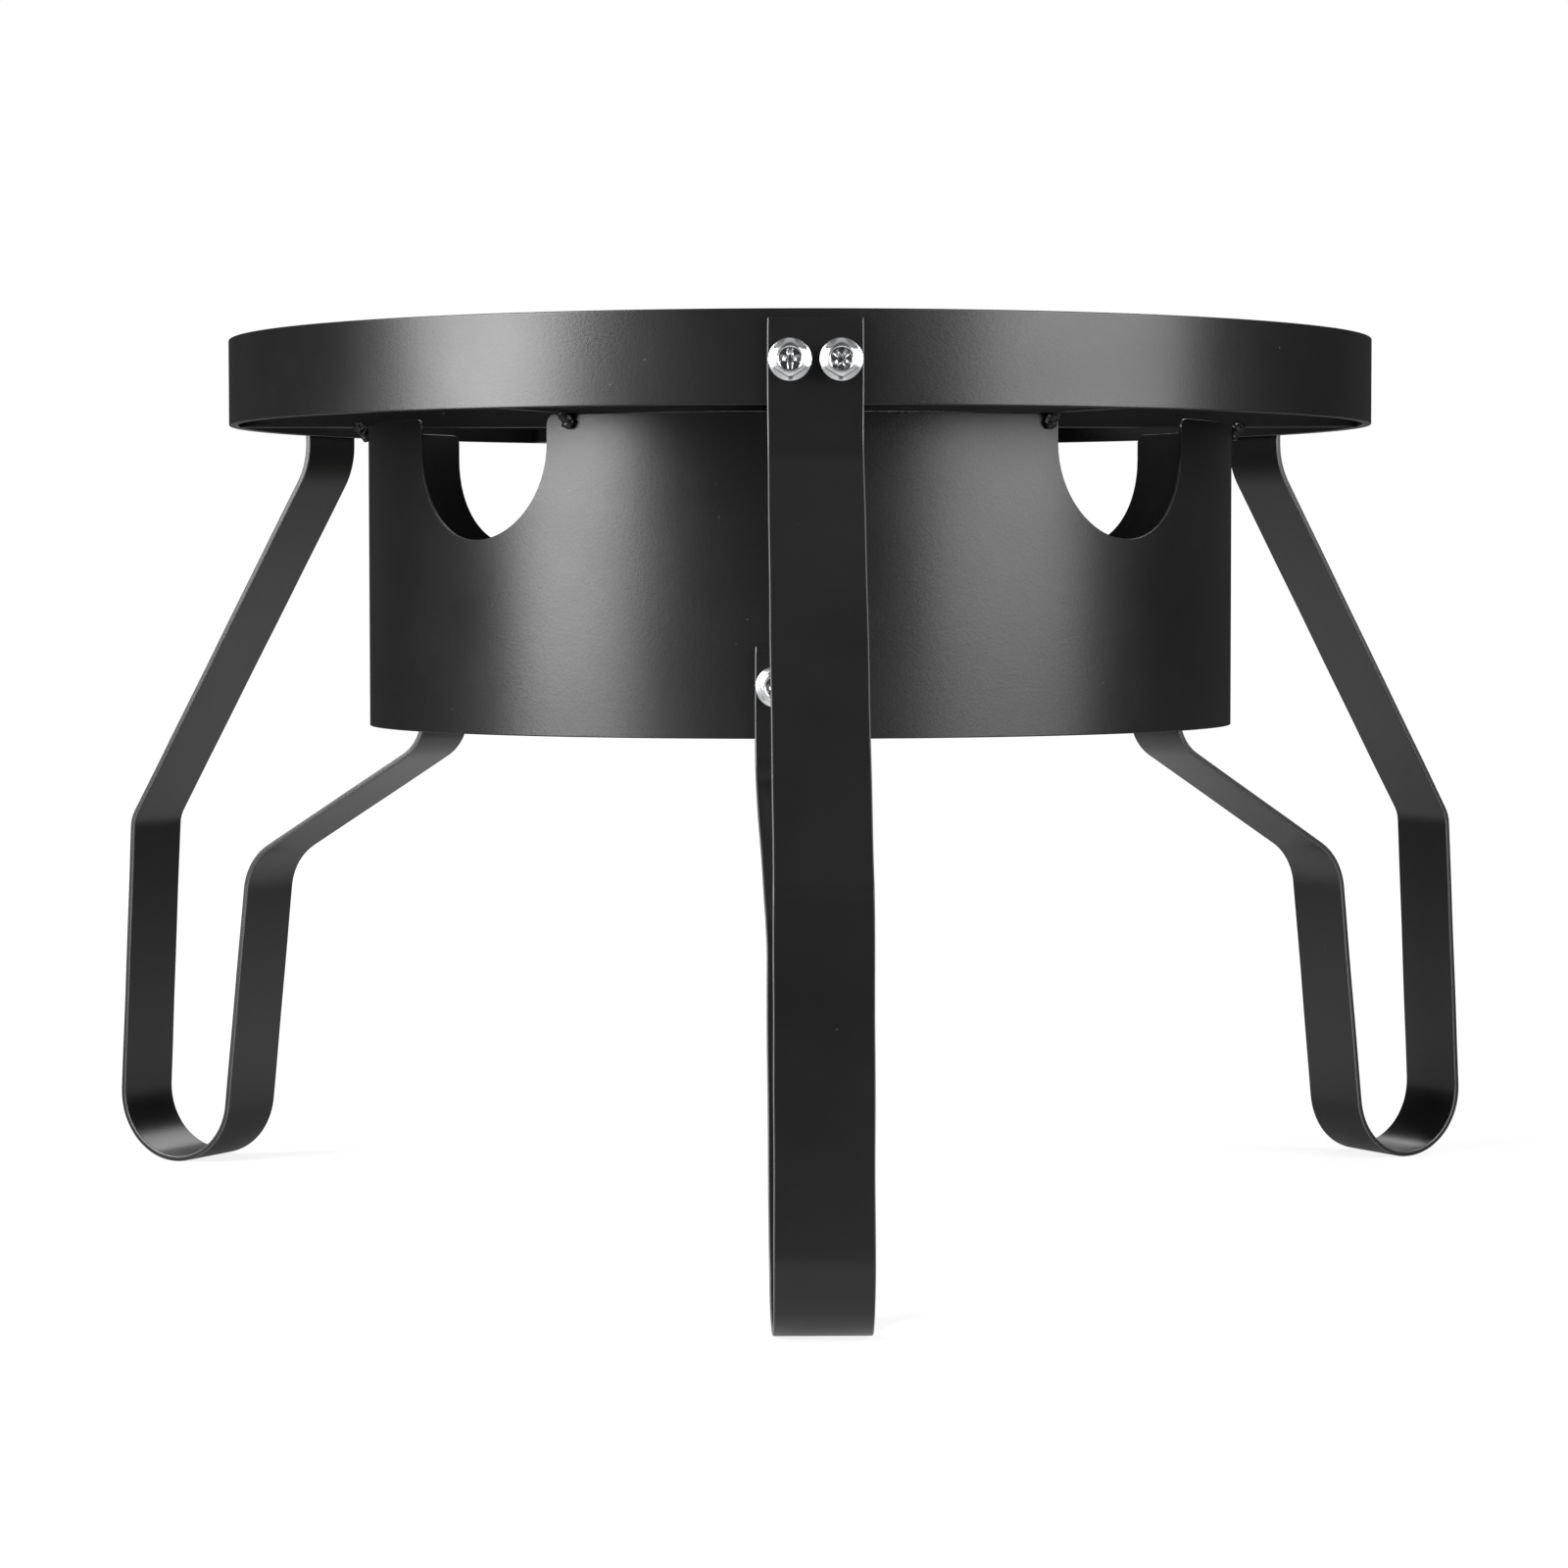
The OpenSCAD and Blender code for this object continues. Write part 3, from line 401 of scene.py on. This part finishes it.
for number, (turn, hand) in enumerate(zip(bar_turns, tack_hands)):
    side = hand * bar_t / 2
    high, middle, low = (stand_point(turn, screen_r + out, side * share, screen_top + up)
                         for out, share, up in tack_route)
    tacks += [bead(high, middle, tack_upper_r, 40 + number), bead(middle, low, tack_lower_r, 50 + number)]
    for end_hand in (-1, 1):
        edge = end_hand * bar_end_aside
        uprights.append(bead(stand_point(turn, bar_end_out, edge, bar_end_low),
                             stand_point(turn, bar_end_out, edge, upright_high),
                             bar_end_r, 60 + 2 * number + end_hand))
for number, turn in enumerate(bar_turns[1:3] + bar_turns[4:]):
    for hand in (-1, 1):
        # The corner lies further out on the side where the arm meets the cross bar at a sharp angle
        sharp_side = hand * math.cos(turn) * math.sin(turn) < 0
        root = root_aside + bar_t * 0.9 * sharp_side
        uprights.append(bead(stand_point(turn, root, hand * root_aside, root_low),
                             stand_point(turn, root, hand * root_aside, upright_high),
                             root_r, 90 + 2 * number + hand))
piece("windscreen_tack_welds", tacks, black_coat)
piece("bar_end_welds", uprights, black_coat)


# ---- Legs -------------------------------------------------------------------
# Three straps of 30 x 2 mm flat bar with sheared, deburred edges, each bent cold into one long
# loop: down from the ring, out to the knee, round the foot and back up to the windscreen.

# The straps' edges are painted lighter grey by the last number here: worn coat and a painted highlight
strap_w, strap_t, strap_edge, strap_wear_and_highlight = 30 * mm, 2 * mm, 0.45 * mm, 0.5
strap_end_r, end_rows = 0.4 * mm, 3
wander_deep, wander_waves = 0.05 * mm, (230 * mm, 110 * mm, 47 * mm)
strap_step = 2 * mm
foot_height_mid = strap_t / 2
leg_corners = np.array([
    (ring_r + strap_t / 2, ring_top - 3 * mm),
    (ring_r + strap_t / 2, ring_bottom - 11 * mm),
    (288 * mm, 133 * mm),
    (295 * mm, foot_height_mid),
    (247 * mm, foot_height_mid),
    (234 * mm, 118 * mm),
    (screen_r + strap_t / 2, screen_bottom - 9.62 * mm),
    (screen_r + strap_t / 2, screen_bottom + 30 * mm)])
leg_bends = np.array([28, 12, 24.622, 24.622, 22, 17]) * mm
foot_middle, foot_zone = 269.04 * mm, 20 * mm
inner_set = 3.4 * mm
leg_turns = {"front": -90, "left": 150, "right": 30}


def strap(turn, seed):
    """Bar section carried along the bent middle line: each row is the section set square to the
    line. The inner run leans sideways in proportion to its distance from the foot's middle."""
    bent = rounded_path(leg_corners, leg_bends)
    line = evenly(bent, int(np.hypot(*np.diff(bent, axis=0).T).sum() / strap_step))
    ahead = np.gradient(line, axis=0)
    ahead /= np.hypot(*ahead.T)[:, None]
    section = bar_outline(strap_w, strap_t, strap_edge)
    # The sheared ends are slightly rounded: the last rows draw in by a quarter circle
    quarter = np.linspace(0, math.pi / 2, end_rows + 1)[:end_rows]
    end_round = strap_end_r * (1 - np.sin(quarter))
    ends = strap_end_r * (1 - np.cos(quarter))
    line = np.vstack([line[0] + ahead[0] * ends[:, None], line[1:-1],
                      line[-1] - ahead[-1] * ends[::-1, None]])
    ahead = np.vstack([np.repeat(ahead[:1], end_rows, 0), ahead[1:-1], np.repeat(ahead[-1:], end_rows, 0)])
    draw_in = np.concatenate([end_round, np.zeros(len(line) - 2 * end_rows), end_round[::-1]])[:, None]
    across = section[:, 0] - np.sign(section[:, 0]) * draw_in
    out = section[:, 1] - np.sign(section[:, 1]) * draw_in
    # Sheared edges are never quite straight: a slow wander of about a tenth of a millimetre
    chance = np.random.default_rng(seed)
    travel = np.arange(len(line))[:, None] * strap_step
    wander = sum(wander_deep * np.sin(travel * 2 * math.pi / wave + chance.uniform(0, 6))
                 for wave in wander_waves)
    across = across + np.sign(section[:, 0]) * wander
    reach = line[:, :1] - ahead[:, 1:] * out
    height = line[:, 1:] + ahead[:, :1] * out
    from_middle = np.where(line[:, 1] < foot_zone, np.abs(line[:, 0] - foot_middle), np.inf)
    inner = np.arange(len(line))[:, None] > np.argmin(from_middle)
    lean = np.where(inner, inner_set * (foot_middle - reach) / (foot_middle - screen_r - strap_t / 2), 0)
    sideways = across - lean
    return shell(np.stack([reach * math.cos(turn) - sideways * math.sin(turn),
                           reach * math.sin(turn) + sideways * math.cos(turn), height], -1),
                 wear_highlight_and_shade=edge_wear_and_highlight(strap_wear_and_highlight))


for seed, (place, degrees) in enumerate(leg_turns.items()):
    piece(place + "_leg_strap", [strap(math.radians(degrees), seed + 3)], black_coat,
          nodes=[place + "_leg"])


# ---- Screws and nuts --------------------------------------------------------
# M6 flange screws and nuts, cold headed and bright zinc plated. A pair holds each strap end:
# six to the ring, and six through the windscreen and the burner bracket's tabs.

def edged(name, node, edge, coat, body="stand", angle=32):
    """The node's own shape with its triangles merged, flat faces joined and sharp edges eased."""
    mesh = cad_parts[node].data.copy()
    work = bmesh.new()
    work.from_mesh(mesh)
    bmesh.ops.remove_doubles(work, verts=work.verts, dist=0.002 * mm)
    bmesh.ops.dissolve_limit(work, angle_limit=math.radians(0.4), verts=work.verts, edges=work.edges)
    work.to_mesh(mesh)
    work.free()
    mesh.shade_smooth()
    made = finished(name, mesh, coat, [node], body)
    made.matrix_world.identity()
    ease = made.modifiers.new("eased_edges", "BEVEL")
    ease.width, ease.segments, ease.limit_method = edge, 2, "ANGLE"
    ease.angle_limit, ease.harden_normals = math.radians(angle), True
    return made


def zinc_plate():
    """Bright zinc: a metal with a faint blue cast, fine drawing marks and cloudy passivation, and
    painted shade: dark grey where the mesh marks it, in recesses and corners."""
    coat, add, wire, shader, coords = paint_shop("zinc_plate")
    cloud = add("TexNoise", {"Vector": coords, "Scale": 260, "Detail": 3})
    grain = add("TexNoise", {"Vector": coords, "Scale": 900, "Detail": 2})
    bright = mixed(add, cloud.outputs[0], (0.78, 0.79, 0.81), (0.88, 0.89, 0.90))
    wear_highlight_and_shade = add("Attribute", attribute_name="coat_wear_highlight_and_shade").outputs["Fac"]
    # Painted shade: the zinc goes dark grey where the mesh marks recesses and corners
    with_painted_shade = add("Mix", {0: wear_highlight_and_shade, 6: bright, 7: (0.10, 0.10, 0.105, 1)}, data_type="RGBA")
    wire(with_painted_shade.outputs[2], shader.inputs["Base Color"])
    wire(spread(add, cloud.outputs[0], 0.3, 0.7, 0.19, 0.27), shader.inputs["Roughness"])
    shader.inputs["Metallic"].default_value = 1
    bump = add("Bump", {"Height": grain.outputs[0], "Distance": 0.00001, "Strength": 0.25})
    wire(bump.outputs[0], shader.inputs["Normal"])
    return coat


zinc = zinc_plate()
screw_r, screw_pitch = 3 * mm, 8 * mm
flange_r, flange_t, head_h, hex_half = 6.8 * mm, 1.2 * mm, 5 * mm, 5 * mm
dish_r, dish_deep = 3.6 * mm, 0.9 * mm
cross_half, cross_reach, cross_deep, lip_deep = 0.75 * mm, 3.15 * mm, 2.2 * mm, 0.12 * mm
head_columns = 192
arm_share, wall_share, lip_share = 0.45, 0.12, 0.25
# How dark the zinc is painted, as shade, in the dish, in the cross, on the dish's wall and at the
# hexagon's foot
dish_painted_shade, cross_painted_shade, wall_painted_shade, foot_painted_shade = 0.6, 0.3, 0.8, 0.6
ring_screw_long, screen_screw_long = 12.15 * mm, 13.64 * mm
crown_r, chamfer_slope, hex_corner_r = dish_r + 0.45 * mm, 0.42, hex_half * 1.1
thread_pitch, thread_deep, thread_long, thread_end = 1 * mm, 0.45 * mm, 4.5 * mm, 0.9 * mm


def cross_bearing(out, share):
    """Bearing of each column at a distance out from the screw's middle. share runs 0..1 from the
    middle of a cross arm to the middle of the land between two arms. Below arm_share it stays on
    the arm, whose sides are parallel as far as the corner where two arms meet."""
    side = np.arcsin(np.minimum(cross_half / out, math.sin(math.pi / 4)))
    on_arm = np.arcsin(np.minimum(share / arm_share, 1) * np.sin(side))
    on_land = side + (math.pi / 4 - side) * (share - arm_share) / (1 - arm_share)
    return np.where(share < arm_share, on_arm, on_land)


def screw(length, hexagon_turn, cross_turn):
    """Flange screw along +Z with its seat at 0, as rings of points: over the dish with its cross
    recess, down the hexagon, over the flange, and along the shank to its threaded end. With them
    goes the painted shade on each point, dark in the dish, its cross and wall, and at the hexagon's foot."""
    column = np.arange(head_columns)
    even = 2 * math.pi * column / head_columns
    eighth = math.pi / 4
    fold_share = np.abs((even / eighth + 1) % 2 - 1)
    quarter = np.round(even / (2 * eighth)) * 2 * eighth
    hand = np.where((even - quarter) >= 0, 1, -1)
    # The dish and its cross: a shallow lip, then steep sides, deepest in the middle
    out = np.concatenate([np.linspace(0.06, 0.96, 14) * cross_reach, [cross_reach * 0.985,
                          cross_reach * 1.02], [dish_r - 0.35 * mm, dish_r - 0.2 * mm]])[:, None]
    bearing = quarter + hand * cross_bearing(out, fold_share[None, :])
    in_cross = out < cross_reach
    on_arm = np.clip((arm_share - fold_share[None, :]) / wall_share, 0, 1) * in_cross
    lip = np.clip((arm_share + lip_share - fold_share[None, :]) / lip_share, 0, 1) * in_cross
    deep = cross_deep * (0.25 + 0.75 * (1 - out / cross_reach) ** 2)
    dish_rows = (out * np.ones_like(bearing), head_h - dish_deep - lip * lip_deep - on_arm * deep,
                 bearing + cross_turn)
    # Hexagon with rounded corners: the distance to its flat grows by 1/cos away from the flat
    flat = np.abs((even - hexagon_turn + math.pi / 6) % (math.pi / 3) - math.pi / 6)
    hexagon = np.minimum(hex_half / np.cos(math.pi / 6 - flat), hex_corner_r)
    chamfer = head_h - (hexagon - crown_r) * chamfer_slope
    rows = [(dish_r - 0.05 * mm, head_h - 0.4 * mm), (dish_r + 0.05 * mm, head_h - 0.16 * mm),
            (dish_r + 0.33 * mm, head_h), (crown_r, head_h), (crown_r + 0.12 * mm, head_h - 0.03 * mm),
            (hexagon - 0.12 * mm, chamfer + 0.05 * mm), (hexagon, chamfer - 0.06 * mm),
            (hexagon, chamfer - 0.3 * mm), (hexagon, flange_t + 1.0 * mm),
            (hexagon + 0.08 * mm, flange_t + 0.72 * mm), (hexagon + 0.3 * mm, flange_t + 0.56 * mm),
            (flange_r - 0.5 * mm, flange_t + 0.06 * mm), (flange_r - 0.13 * mm, flange_t - 0.13 * mm),
            (flange_r - 0.02 * mm, flange_t - 0.3 * mm), (flange_r, flange_t * 0.45),
            (flange_r - 0.05 * mm, 0.15 * mm), (flange_r - 0.25 * mm, 0), (screw_r, 0)]
    # Thread: the radius swings between crest and root once per pitch and once per turn
    along = -np.linspace(length - thread_long, length - thread_end, 22)[:, None]
    swing = np.abs(((along / thread_pitch + even[None, :] / (2 * math.pi)) % 1) * 2 - 1)
    thread_rows = (screw_r - thread_deep * swing, along + 0 * swing, even + 0 * swing)
    tip = [(screw_r - thread_deep, -length + 0.5 * mm), (screw_r - 1.1 * mm, -length)]
    stack = [np.broadcast_arrays(out, height, even) for out, height in rows]
    last = [np.broadcast_arrays(out, height, even) for out, height in tip]
    parts = [np.stack(dish_rows, -1), np.stack([np.stack(row, -1) for row in stack]),
             np.stack(thread_rows, -1), np.stack([np.stack(row, -1) for row in last])]
    rings = np.concatenate(parts)
    # Painted shade: the dish and its cross, the dish's wall, and the corner at the hexagon's foot are
    # painted dark
    tarnish_and_painted_shade, wall_row = np.zeros(rings.shape[:2]), len(out)
    foot_row = wall_row + 8
    tarnish_and_painted_shade[:wall_row] = dish_painted_shade * (1 - lip) + cross_painted_shade * on_arm
    tarnish_and_painted_shade[wall_row - 2:wall_row + 1] = wall_painted_shade
    tarnish_and_painted_shade[foot_row:foot_row + 2] = foot_painted_shade
    return np.stack([rings[..., 0] * np.cos(rings[..., 2]), rings[..., 0] * np.sin(rings[..., 2]),
                     rings[..., 1]], -1), tarnish_and_painted_shade


def screwed_in(rings, tarnish_and_painted_shade, turn, seat, aside, height):
    """Rings of points along +Z laid along the outward direction turn, with +X pointing down, and
    the painted shade on them."""
    down, side, out = rings[..., 0], aside + rings[..., 1], seat + rings[..., 2]
    return shell(np.stack([out * math.cos(turn) - side * math.sin(turn),
                           out * math.sin(turn) + side * math.cos(turn), height - down], -1), wear_highlight_and_shade=tarnish_and_painted_shade)


# Seat, shift to the side, first angle and length of each row. A tight screw stops at any angle, so
# each head and cross is turned its own way, in degrees.
screw_rows = {"ring_screws": (ring_r + strap_t, 0, 0, ring_screw_long),
              "windscreen_screws": (screen_r + strap_t, inner_set, 11, screen_screw_long)}
for group, (seat, aside, first_turn, screw_long) in screw_rows.items():
    low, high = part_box(group)
    screw_height = (low[2] + high[2]) / 2
    shells = []
    for leg, degrees in enumerate(leg_turns.values()):
        for hand in (-1, 1):
            head_turn = first_turn + (17 + 9 * hand) * leg
            cross_turn = 22.5 * (1 + hand) + first_turn + 31 * leg
            rings, tarnish_and_painted_shade = screw(screw_long, math.radians(head_turn), math.radians(cross_turn))
            shells.append(screwed_in(rings, tarnish_and_painted_shade, math.radians(degrees), seat,
                                     hand * screw_pitch - aside, screw_height))
    piece("zinc_" + group, shells, zinc, nodes=[group], crease=28)
for group in ("ring_nuts", "windscreen_nuts"):
    edged("zinc_" + group, group, 0.12 * mm, zinc)


# ---- Burner bracket ---------------------------------------------------------
# Three-armed spider pressed from 3 mm plate, coated like the stand. Its upturned ends sit
# inside the windscreen under the legs' lower screws, and the burner is bolted to its middle.

edged("bracket_spider", "burner_bracket", 0.4 * mm, black_coat)


# ---- Burner -----------------------------------------------------------------
# Grey iron, sand cast and left as cast: bowl, mixer tube and bell in one piece, and a cap
# drilled with rings of flame ports, held by three slotted steel screws.

def cast_iron():
    """Sand-cast iron: grainy skin with pits, darker in its hollows, and a bloom of brown rust."""
    coat, add, wire, shader, coords = paint_shop("cast_iron")
    sand = add("TexNoise", {"Vector": coords, "Scale": 900, "Detail": 6, "Roughness": 0.7})
    lumps = add("TexNoise", {"Vector": coords, "Scale": 120, "Detail": 3})
    pits = add("TexVoronoi", {"Vector": coords, "Scale": 520})
    rust = add("TexNoise", {"Vector": coords, "Scale": 34, "Detail": 7, "Roughness": 0.68})
    grey = mixed(add, sand.outputs[0], (0.028, 0.027, 0.026), (0.085, 0.082, 0.078))
    bloom = spread(add, rust.outputs[0], 0.56, 0.72, 0, 0.7)
    rusty = add("Mix", {0: bloom, 6: grey, 7: (0.105, 0.042, 0.018, 1)}, data_type="RGBA")
    wire(rusty.outputs[2], shader.inputs["Base Color"])
    wire(spread(add, rust.outputs[0], 0.3, 0.7, 0.55, 0.85), shader.inputs["Roughness"])
    shader.inputs["Metallic"].default_value = 0.35
    pit = add("Bump", {"Height": pits.outputs["Distance"], "Distance": 0.00012, "Strength": 0.35})
    skin = add("Bump", {"Height": sand.outputs[0], "Distance": 0.0002, "Strength": 0.8,
                        "Normal": pit.outputs[0]})
    lump = add("Bump", {"Height": lumps.outputs[0], "Distance": 0.0006, "Strength": 0.4,
                        "Normal": skin.outputs[0]})
    wire(lump.outputs[0], shader.inputs["Normal"])
    return coat


def plain_steel():
    """Stamped steel with rolling marks: long fine streaks in gloss and height."""
    coat, add, wire, shader, coords = paint_shop("plain_steel")
    stretch = add("Mapping", {"Vector": coords, "Scale": (2600, 2600, 120)})
    streak = add("TexNoise", {"Vector": stretch.outputs[0], "Scale": 1, "Detail": 4})
    cloud = add("TexNoise", {"Vector": coords, "Scale": 160, "Detail": 5})
    wire(mixed(add, cloud.outputs[0], (0.36, 0.36, 0.37), (0.60, 0.61, 0.62)),
         shader.inputs["Base Color"])
    wire(spread(add, streak.outputs[0], 0.3, 0.7, 0.28, 0.44), shader.inputs["Roughness"])
    shader.inputs["Metallic"].default_value = 1
    bump = add("Bump", {"Height": streak.outputs[0], "Distance": 0.00001, "Strength": 0.6})
    wire(bump.outputs[0], shader.inputs["Normal"])
    return coat


iron = cast_iron()
steel = plain_steel()
edged("burner_casting", "burner_body", 0.8 * mm, iron)
edged("burner_port_cap", "burner_cap", 0.5 * mm, iron)
edged("cap_slotted_screws", "cap_screws", 0.15 * mm, steel)
edged("burner_hex_bolt", "burner_bolt", 0.3 * mm, zinc)
edged("burner_split_washer", "burner_lock_washer", 0.15 * mm, steel)


# ---- Air shutter ------------------------------------------------------------
# Stamped steel plate with four windows and a thumb tab. It turns on the orifice holder's
# journal, pressed to the bell by a dished spring washer, and the peg in the bell stops it.

edged("shutter_plate", "air_shutter", 0.2 * mm, steel, body="shutter")
edged("dished_spring", "shutter_spring", 0.12 * mm, steel)


# ---- Gas fittings -----------------------------------------------------------
# Brass, turned from hexagon bar: the orifice holder screws into the bell, and the inlet
# adapter with its 45 degree flare takes the hose.

def turned_brass():
    """Turned brass: warm metal with fine lathe rings and a matt brown tarnish."""
    coat, add, wire, shader, coords = paint_shop("turned_brass")
    stretch = add("Mapping", {"Vector": coords, "Scale": (150, 5200, 150)})
    rings = add("TexNoise", {"Vector": stretch.outputs[0], "Scale": 1, "Detail": 3})
    tarnish = add("TexNoise", {"Vector": coords, "Scale": 95, "Detail": 6, "Roughness": 0.6})
    tarnish_and_painted_shade = spread(add, tarnish.outputs[0], 0.42, 0.68, 0, 0.8)
    tone = mixed(add, tarnish_and_painted_shade, (0.80, 0.56, 0.22), (0.42, 0.26, 0.10))
    wire(tone, shader.inputs["Base Color"])
    wire(spread(add, tarnish.outputs[0], 0.3, 0.7, 0.2, 0.42), shader.inputs["Roughness"])
    shader.inputs["Metallic"].default_value = 1
    bump = add("Bump", {"Height": rings.outputs[0], "Distance": 0.00002, "Strength": 0.5})
    wire(bump.outputs[0], shader.inputs["Normal"])
    return coat


brass = turned_brass()
edged("orifice_fitting", "orifice_holder", 0.25 * mm, brass)
edged("flare_adapter", "gas_inlet", 0.25 * mm, brass)


# ---- Floor, light and camera ------------------------------------------------
# A plain pale floor under two tall soft boxes, one on each side of the stand, and a weak
# overhead one. The far room is dark, and a white sweep closes the view behind the stand.

# Metres along Y where the near sweep and the bright patch at the front foot start, their half
# widths along X, and their shine; then how far from the middle the floor is lifted to white
floor_size = 14.0
sweep_start, sweep_half, sweep_beside = (-0.72, -0.60), (0.26, 0.42), 0.15
patch_start, patch_half, patch_shine, plain_shine = (-0.50, -0.42), (0.09, 0.16), 0.4, 0.22
lift_reach, shade_lift = (0.35, 0.9), 0.84


def pale_floor():
    """Pale matt floor. Camera, glossy and transmission rays see it lifted to white, less so close
    to the stand, where its shadow stays. Glossy rays see a part of the lift, on the near sweep and
    most at the front foot."""
    coat, add, wire, shader, coords = paint_shop("pale_floor")
    fleck = add("TexNoise", {"Vector": coords, "Scale": 300, "Detail": 2})
    wire(mixed(add, fleck.outputs[0], (0.21, 0.21, 0.21), (0.23, 0.23, 0.23)),
         shader.inputs["Base Color"])
    shader.inputs["Roughness"].default_value = 0.9
    shader.inputs["Specular IOR Level"].default_value = 0
    path = add("LightPath")
    place = add("SeparateXYZ", {0: coords})
    beside = add("Math", {0: place.outputs["X"]}, operation="ABSOLUTE").outputs[0]
    near_sweep = add("Math", {0: spread(add, place.outputs["Y"], *sweep_start, 0, 1),
                              1: spread(add, beside, *sweep_half, 1, sweep_beside)}, operation="MULTIPLY")
    at_foot = add("Math", {0: spread(add, place.outputs["Y"], *patch_start, 0, patch_shine),
                           1: spread(add, beside, *patch_half, 1, 0)}, operation="MULTIPLY")
    shine_here = add("Math", {0: at_foot.outputs[0], 1: plain_shine}, operation="ADD").outputs[0]
    near_shine = add("Math", {0: near_sweep.outputs[0], 1: shine_here}, operation="MULTIPLY").outputs[0]
    shine = add("Math", {0: path.outputs["Is Glossy Ray"], 1: near_shine},
                operation="MULTIPLY").outputs[0]
    seen = add("Math", {0: path.outputs["Is Camera Ray"], 1: shine}, operation="MAXIMUM").outputs[0]
    seen = add("Math", {0: seen, 1: path.outputs["Is Transmission Ray"]}, operation="MAXIMUM").outputs[0]
    away = add("VectorMath", {0: coords}, operation="LENGTH").outputs["Value"]
    lift = spread(add, away, *lift_reach, shade_lift, 1)
    wire(add("Math", {0: seen, 1: lift}, operation="MULTIPLY").outputs[0],
         shader.inputs["Emission Strength"])
    shader.inputs["Emission Color"].default_value = (1, 1, 1, 1)
    return coat


floor_mesh = bpy.data.meshes.new("floor")
half = floor_size / 2
floor_mesh.from_pydata([(-half, -half, 0), (half, -half, 0), (half, half, 0), (-half, half, 0)],
                       [], [(0, 1, 2, 3)])
floor = bpy.data.objects.new("floor", floor_mesh)
floor.data.materials.append(pale_floor())
bpy.context.scene.collection.objects.link(floor)

world = bpy.data.worlds.new("studio")
bpy.context.scene.world = world
world.use_nodes = True
room = world.node_tree
room_light = 0.06
sweep_edges, sweep_shine = (math.cos(math.radians(12)), math.cos(math.radians(8))), 0.3
sweep_tall = 0.3


def room_node(kind, inputs=None, **settings):
    """Adds a node to the room's tree, as paint_shop's add does."""
    made = room.nodes.new("ShaderNode" + kind)
    for key, value in settings.items():
        setattr(made, key, value)
    for key, value in (inputs or {}).items():
        if isinstance(value, bpy.types.NodeSocket):
            room.links.new(value, made.inputs[key])
        else:
            made.inputs[key].default_value = value
    return made


path = room_node("LightPath")
direction = room_node("TexCoord").outputs["Generated"]
low_sky = room_node("VectorMath", {0: direction, 1: (1, 1, sweep_tall)}, operation="MULTIPLY")
low_sky = room_node("VectorMath", {0: low_sky.outputs[0]}, operation="NORMALIZE")
towards_sweep = room_node("VectorMath", {0: low_sky.outputs[0], 1: (0, 1, 0)}, operation="DOT_PRODUCT")
sweep = room_node("MapRange", {"Value": towards_sweep.outputs["Value"], "From Min": sweep_edges[0],
                               "From Max": sweep_edges[1]}).outputs[0]
shine = room_node("Math", {0: path.outputs["Is Glossy Ray"], 1: sweep}, operation="MULTIPLY")
shine = room_node("Math", {0: shine.outputs[0], 1: sweep_shine}, operation="MULTIPLY")
seen = room_node("Math", {0: path.outputs["Is Camera Ray"], 1: shine.outputs[0]}, operation="MAXIMUM")
seen = room_node("Math", {0: seen.outputs[0], 1: path.outputs["Is Transmission Ray"]},
                 operation="MAXIMUM")
strength = room_node("MapRange", {"Value": seen.outputs[0], "To Min": room_light, "To Max": 1})
room.links.new(strength.outputs[0], room.nodes["Background"].inputs["Strength"])
room.nodes["Background"].inputs["Color"].default_value = (1, 1, 1, 1)


def soft_box(name, degrees, distance, height, width, tall, watts):
    """Rectangular lamp at that bearing from the camera's side, turned to the stand."""
    lamp = bpy.data.lights.new(name, "AREA")
    lamp.shape, lamp.size, lamp.size_y, lamp.energy = "RECTANGLE", width, tall, watts
    made = bpy.data.objects.new(name, lamp)
    bpy.context.scene.collection.objects.link(made)
    bearing = math.radians(degrees)
    spot = stand_axis + [distance * math.sin(bearing), -distance * math.cos(bearing), height]
    made.location = spot
    aim = stand_axis + [0, 0, 0.2] - spot
    made.rotation_euler = (math.atan2(math.hypot(aim[0], aim[1]), -aim[2]), 0,
                           math.atan2(aim[1], aim[0]) - math.pi / 2)
    return made


soft_box("soft_box_left", -60, 1.6, 0.70, 0.95, 1.1, 53)
soft_box("soft_box_right", 52, 1.9, 0.71, 1.5, 1.1, 44)
soft_box("soft_box_top", 0, 0.05, 2.2, 2.2, 2.2, 6)
soft_box("soft_box_rear", 165, 1.9, 1.50, 1.20, 0.8, 12)

frame_side = 1600
sensor = 36.0
focal_pixels = 4380
camera_spot = np.array([-37, -1543, 225.7]) * mm
camera_yaw, camera_pitch, camera_roll = (math.radians(angle) for angle in (1.16, 2.73, 0.07))
lens = bpy.data.cameras.new("camera")
lens.sensor_width = sensor
lens.lens = sensor * focal_pixels / frame_side
lens.clip_end = 40
camera = bpy.data.objects.new("camera", lens)
camera.location = stand_axis + camera_spot
camera.rotation_mode = "XYZ"
camera.rotation_euler = (math.pi / 2 - camera_pitch, camera_roll, -camera_yaw)
bpy.context.scene.collection.objects.link(camera)
bpy.context.scene.camera = camera
bpy.context.scene.view_settings.view_transform = "Standard"
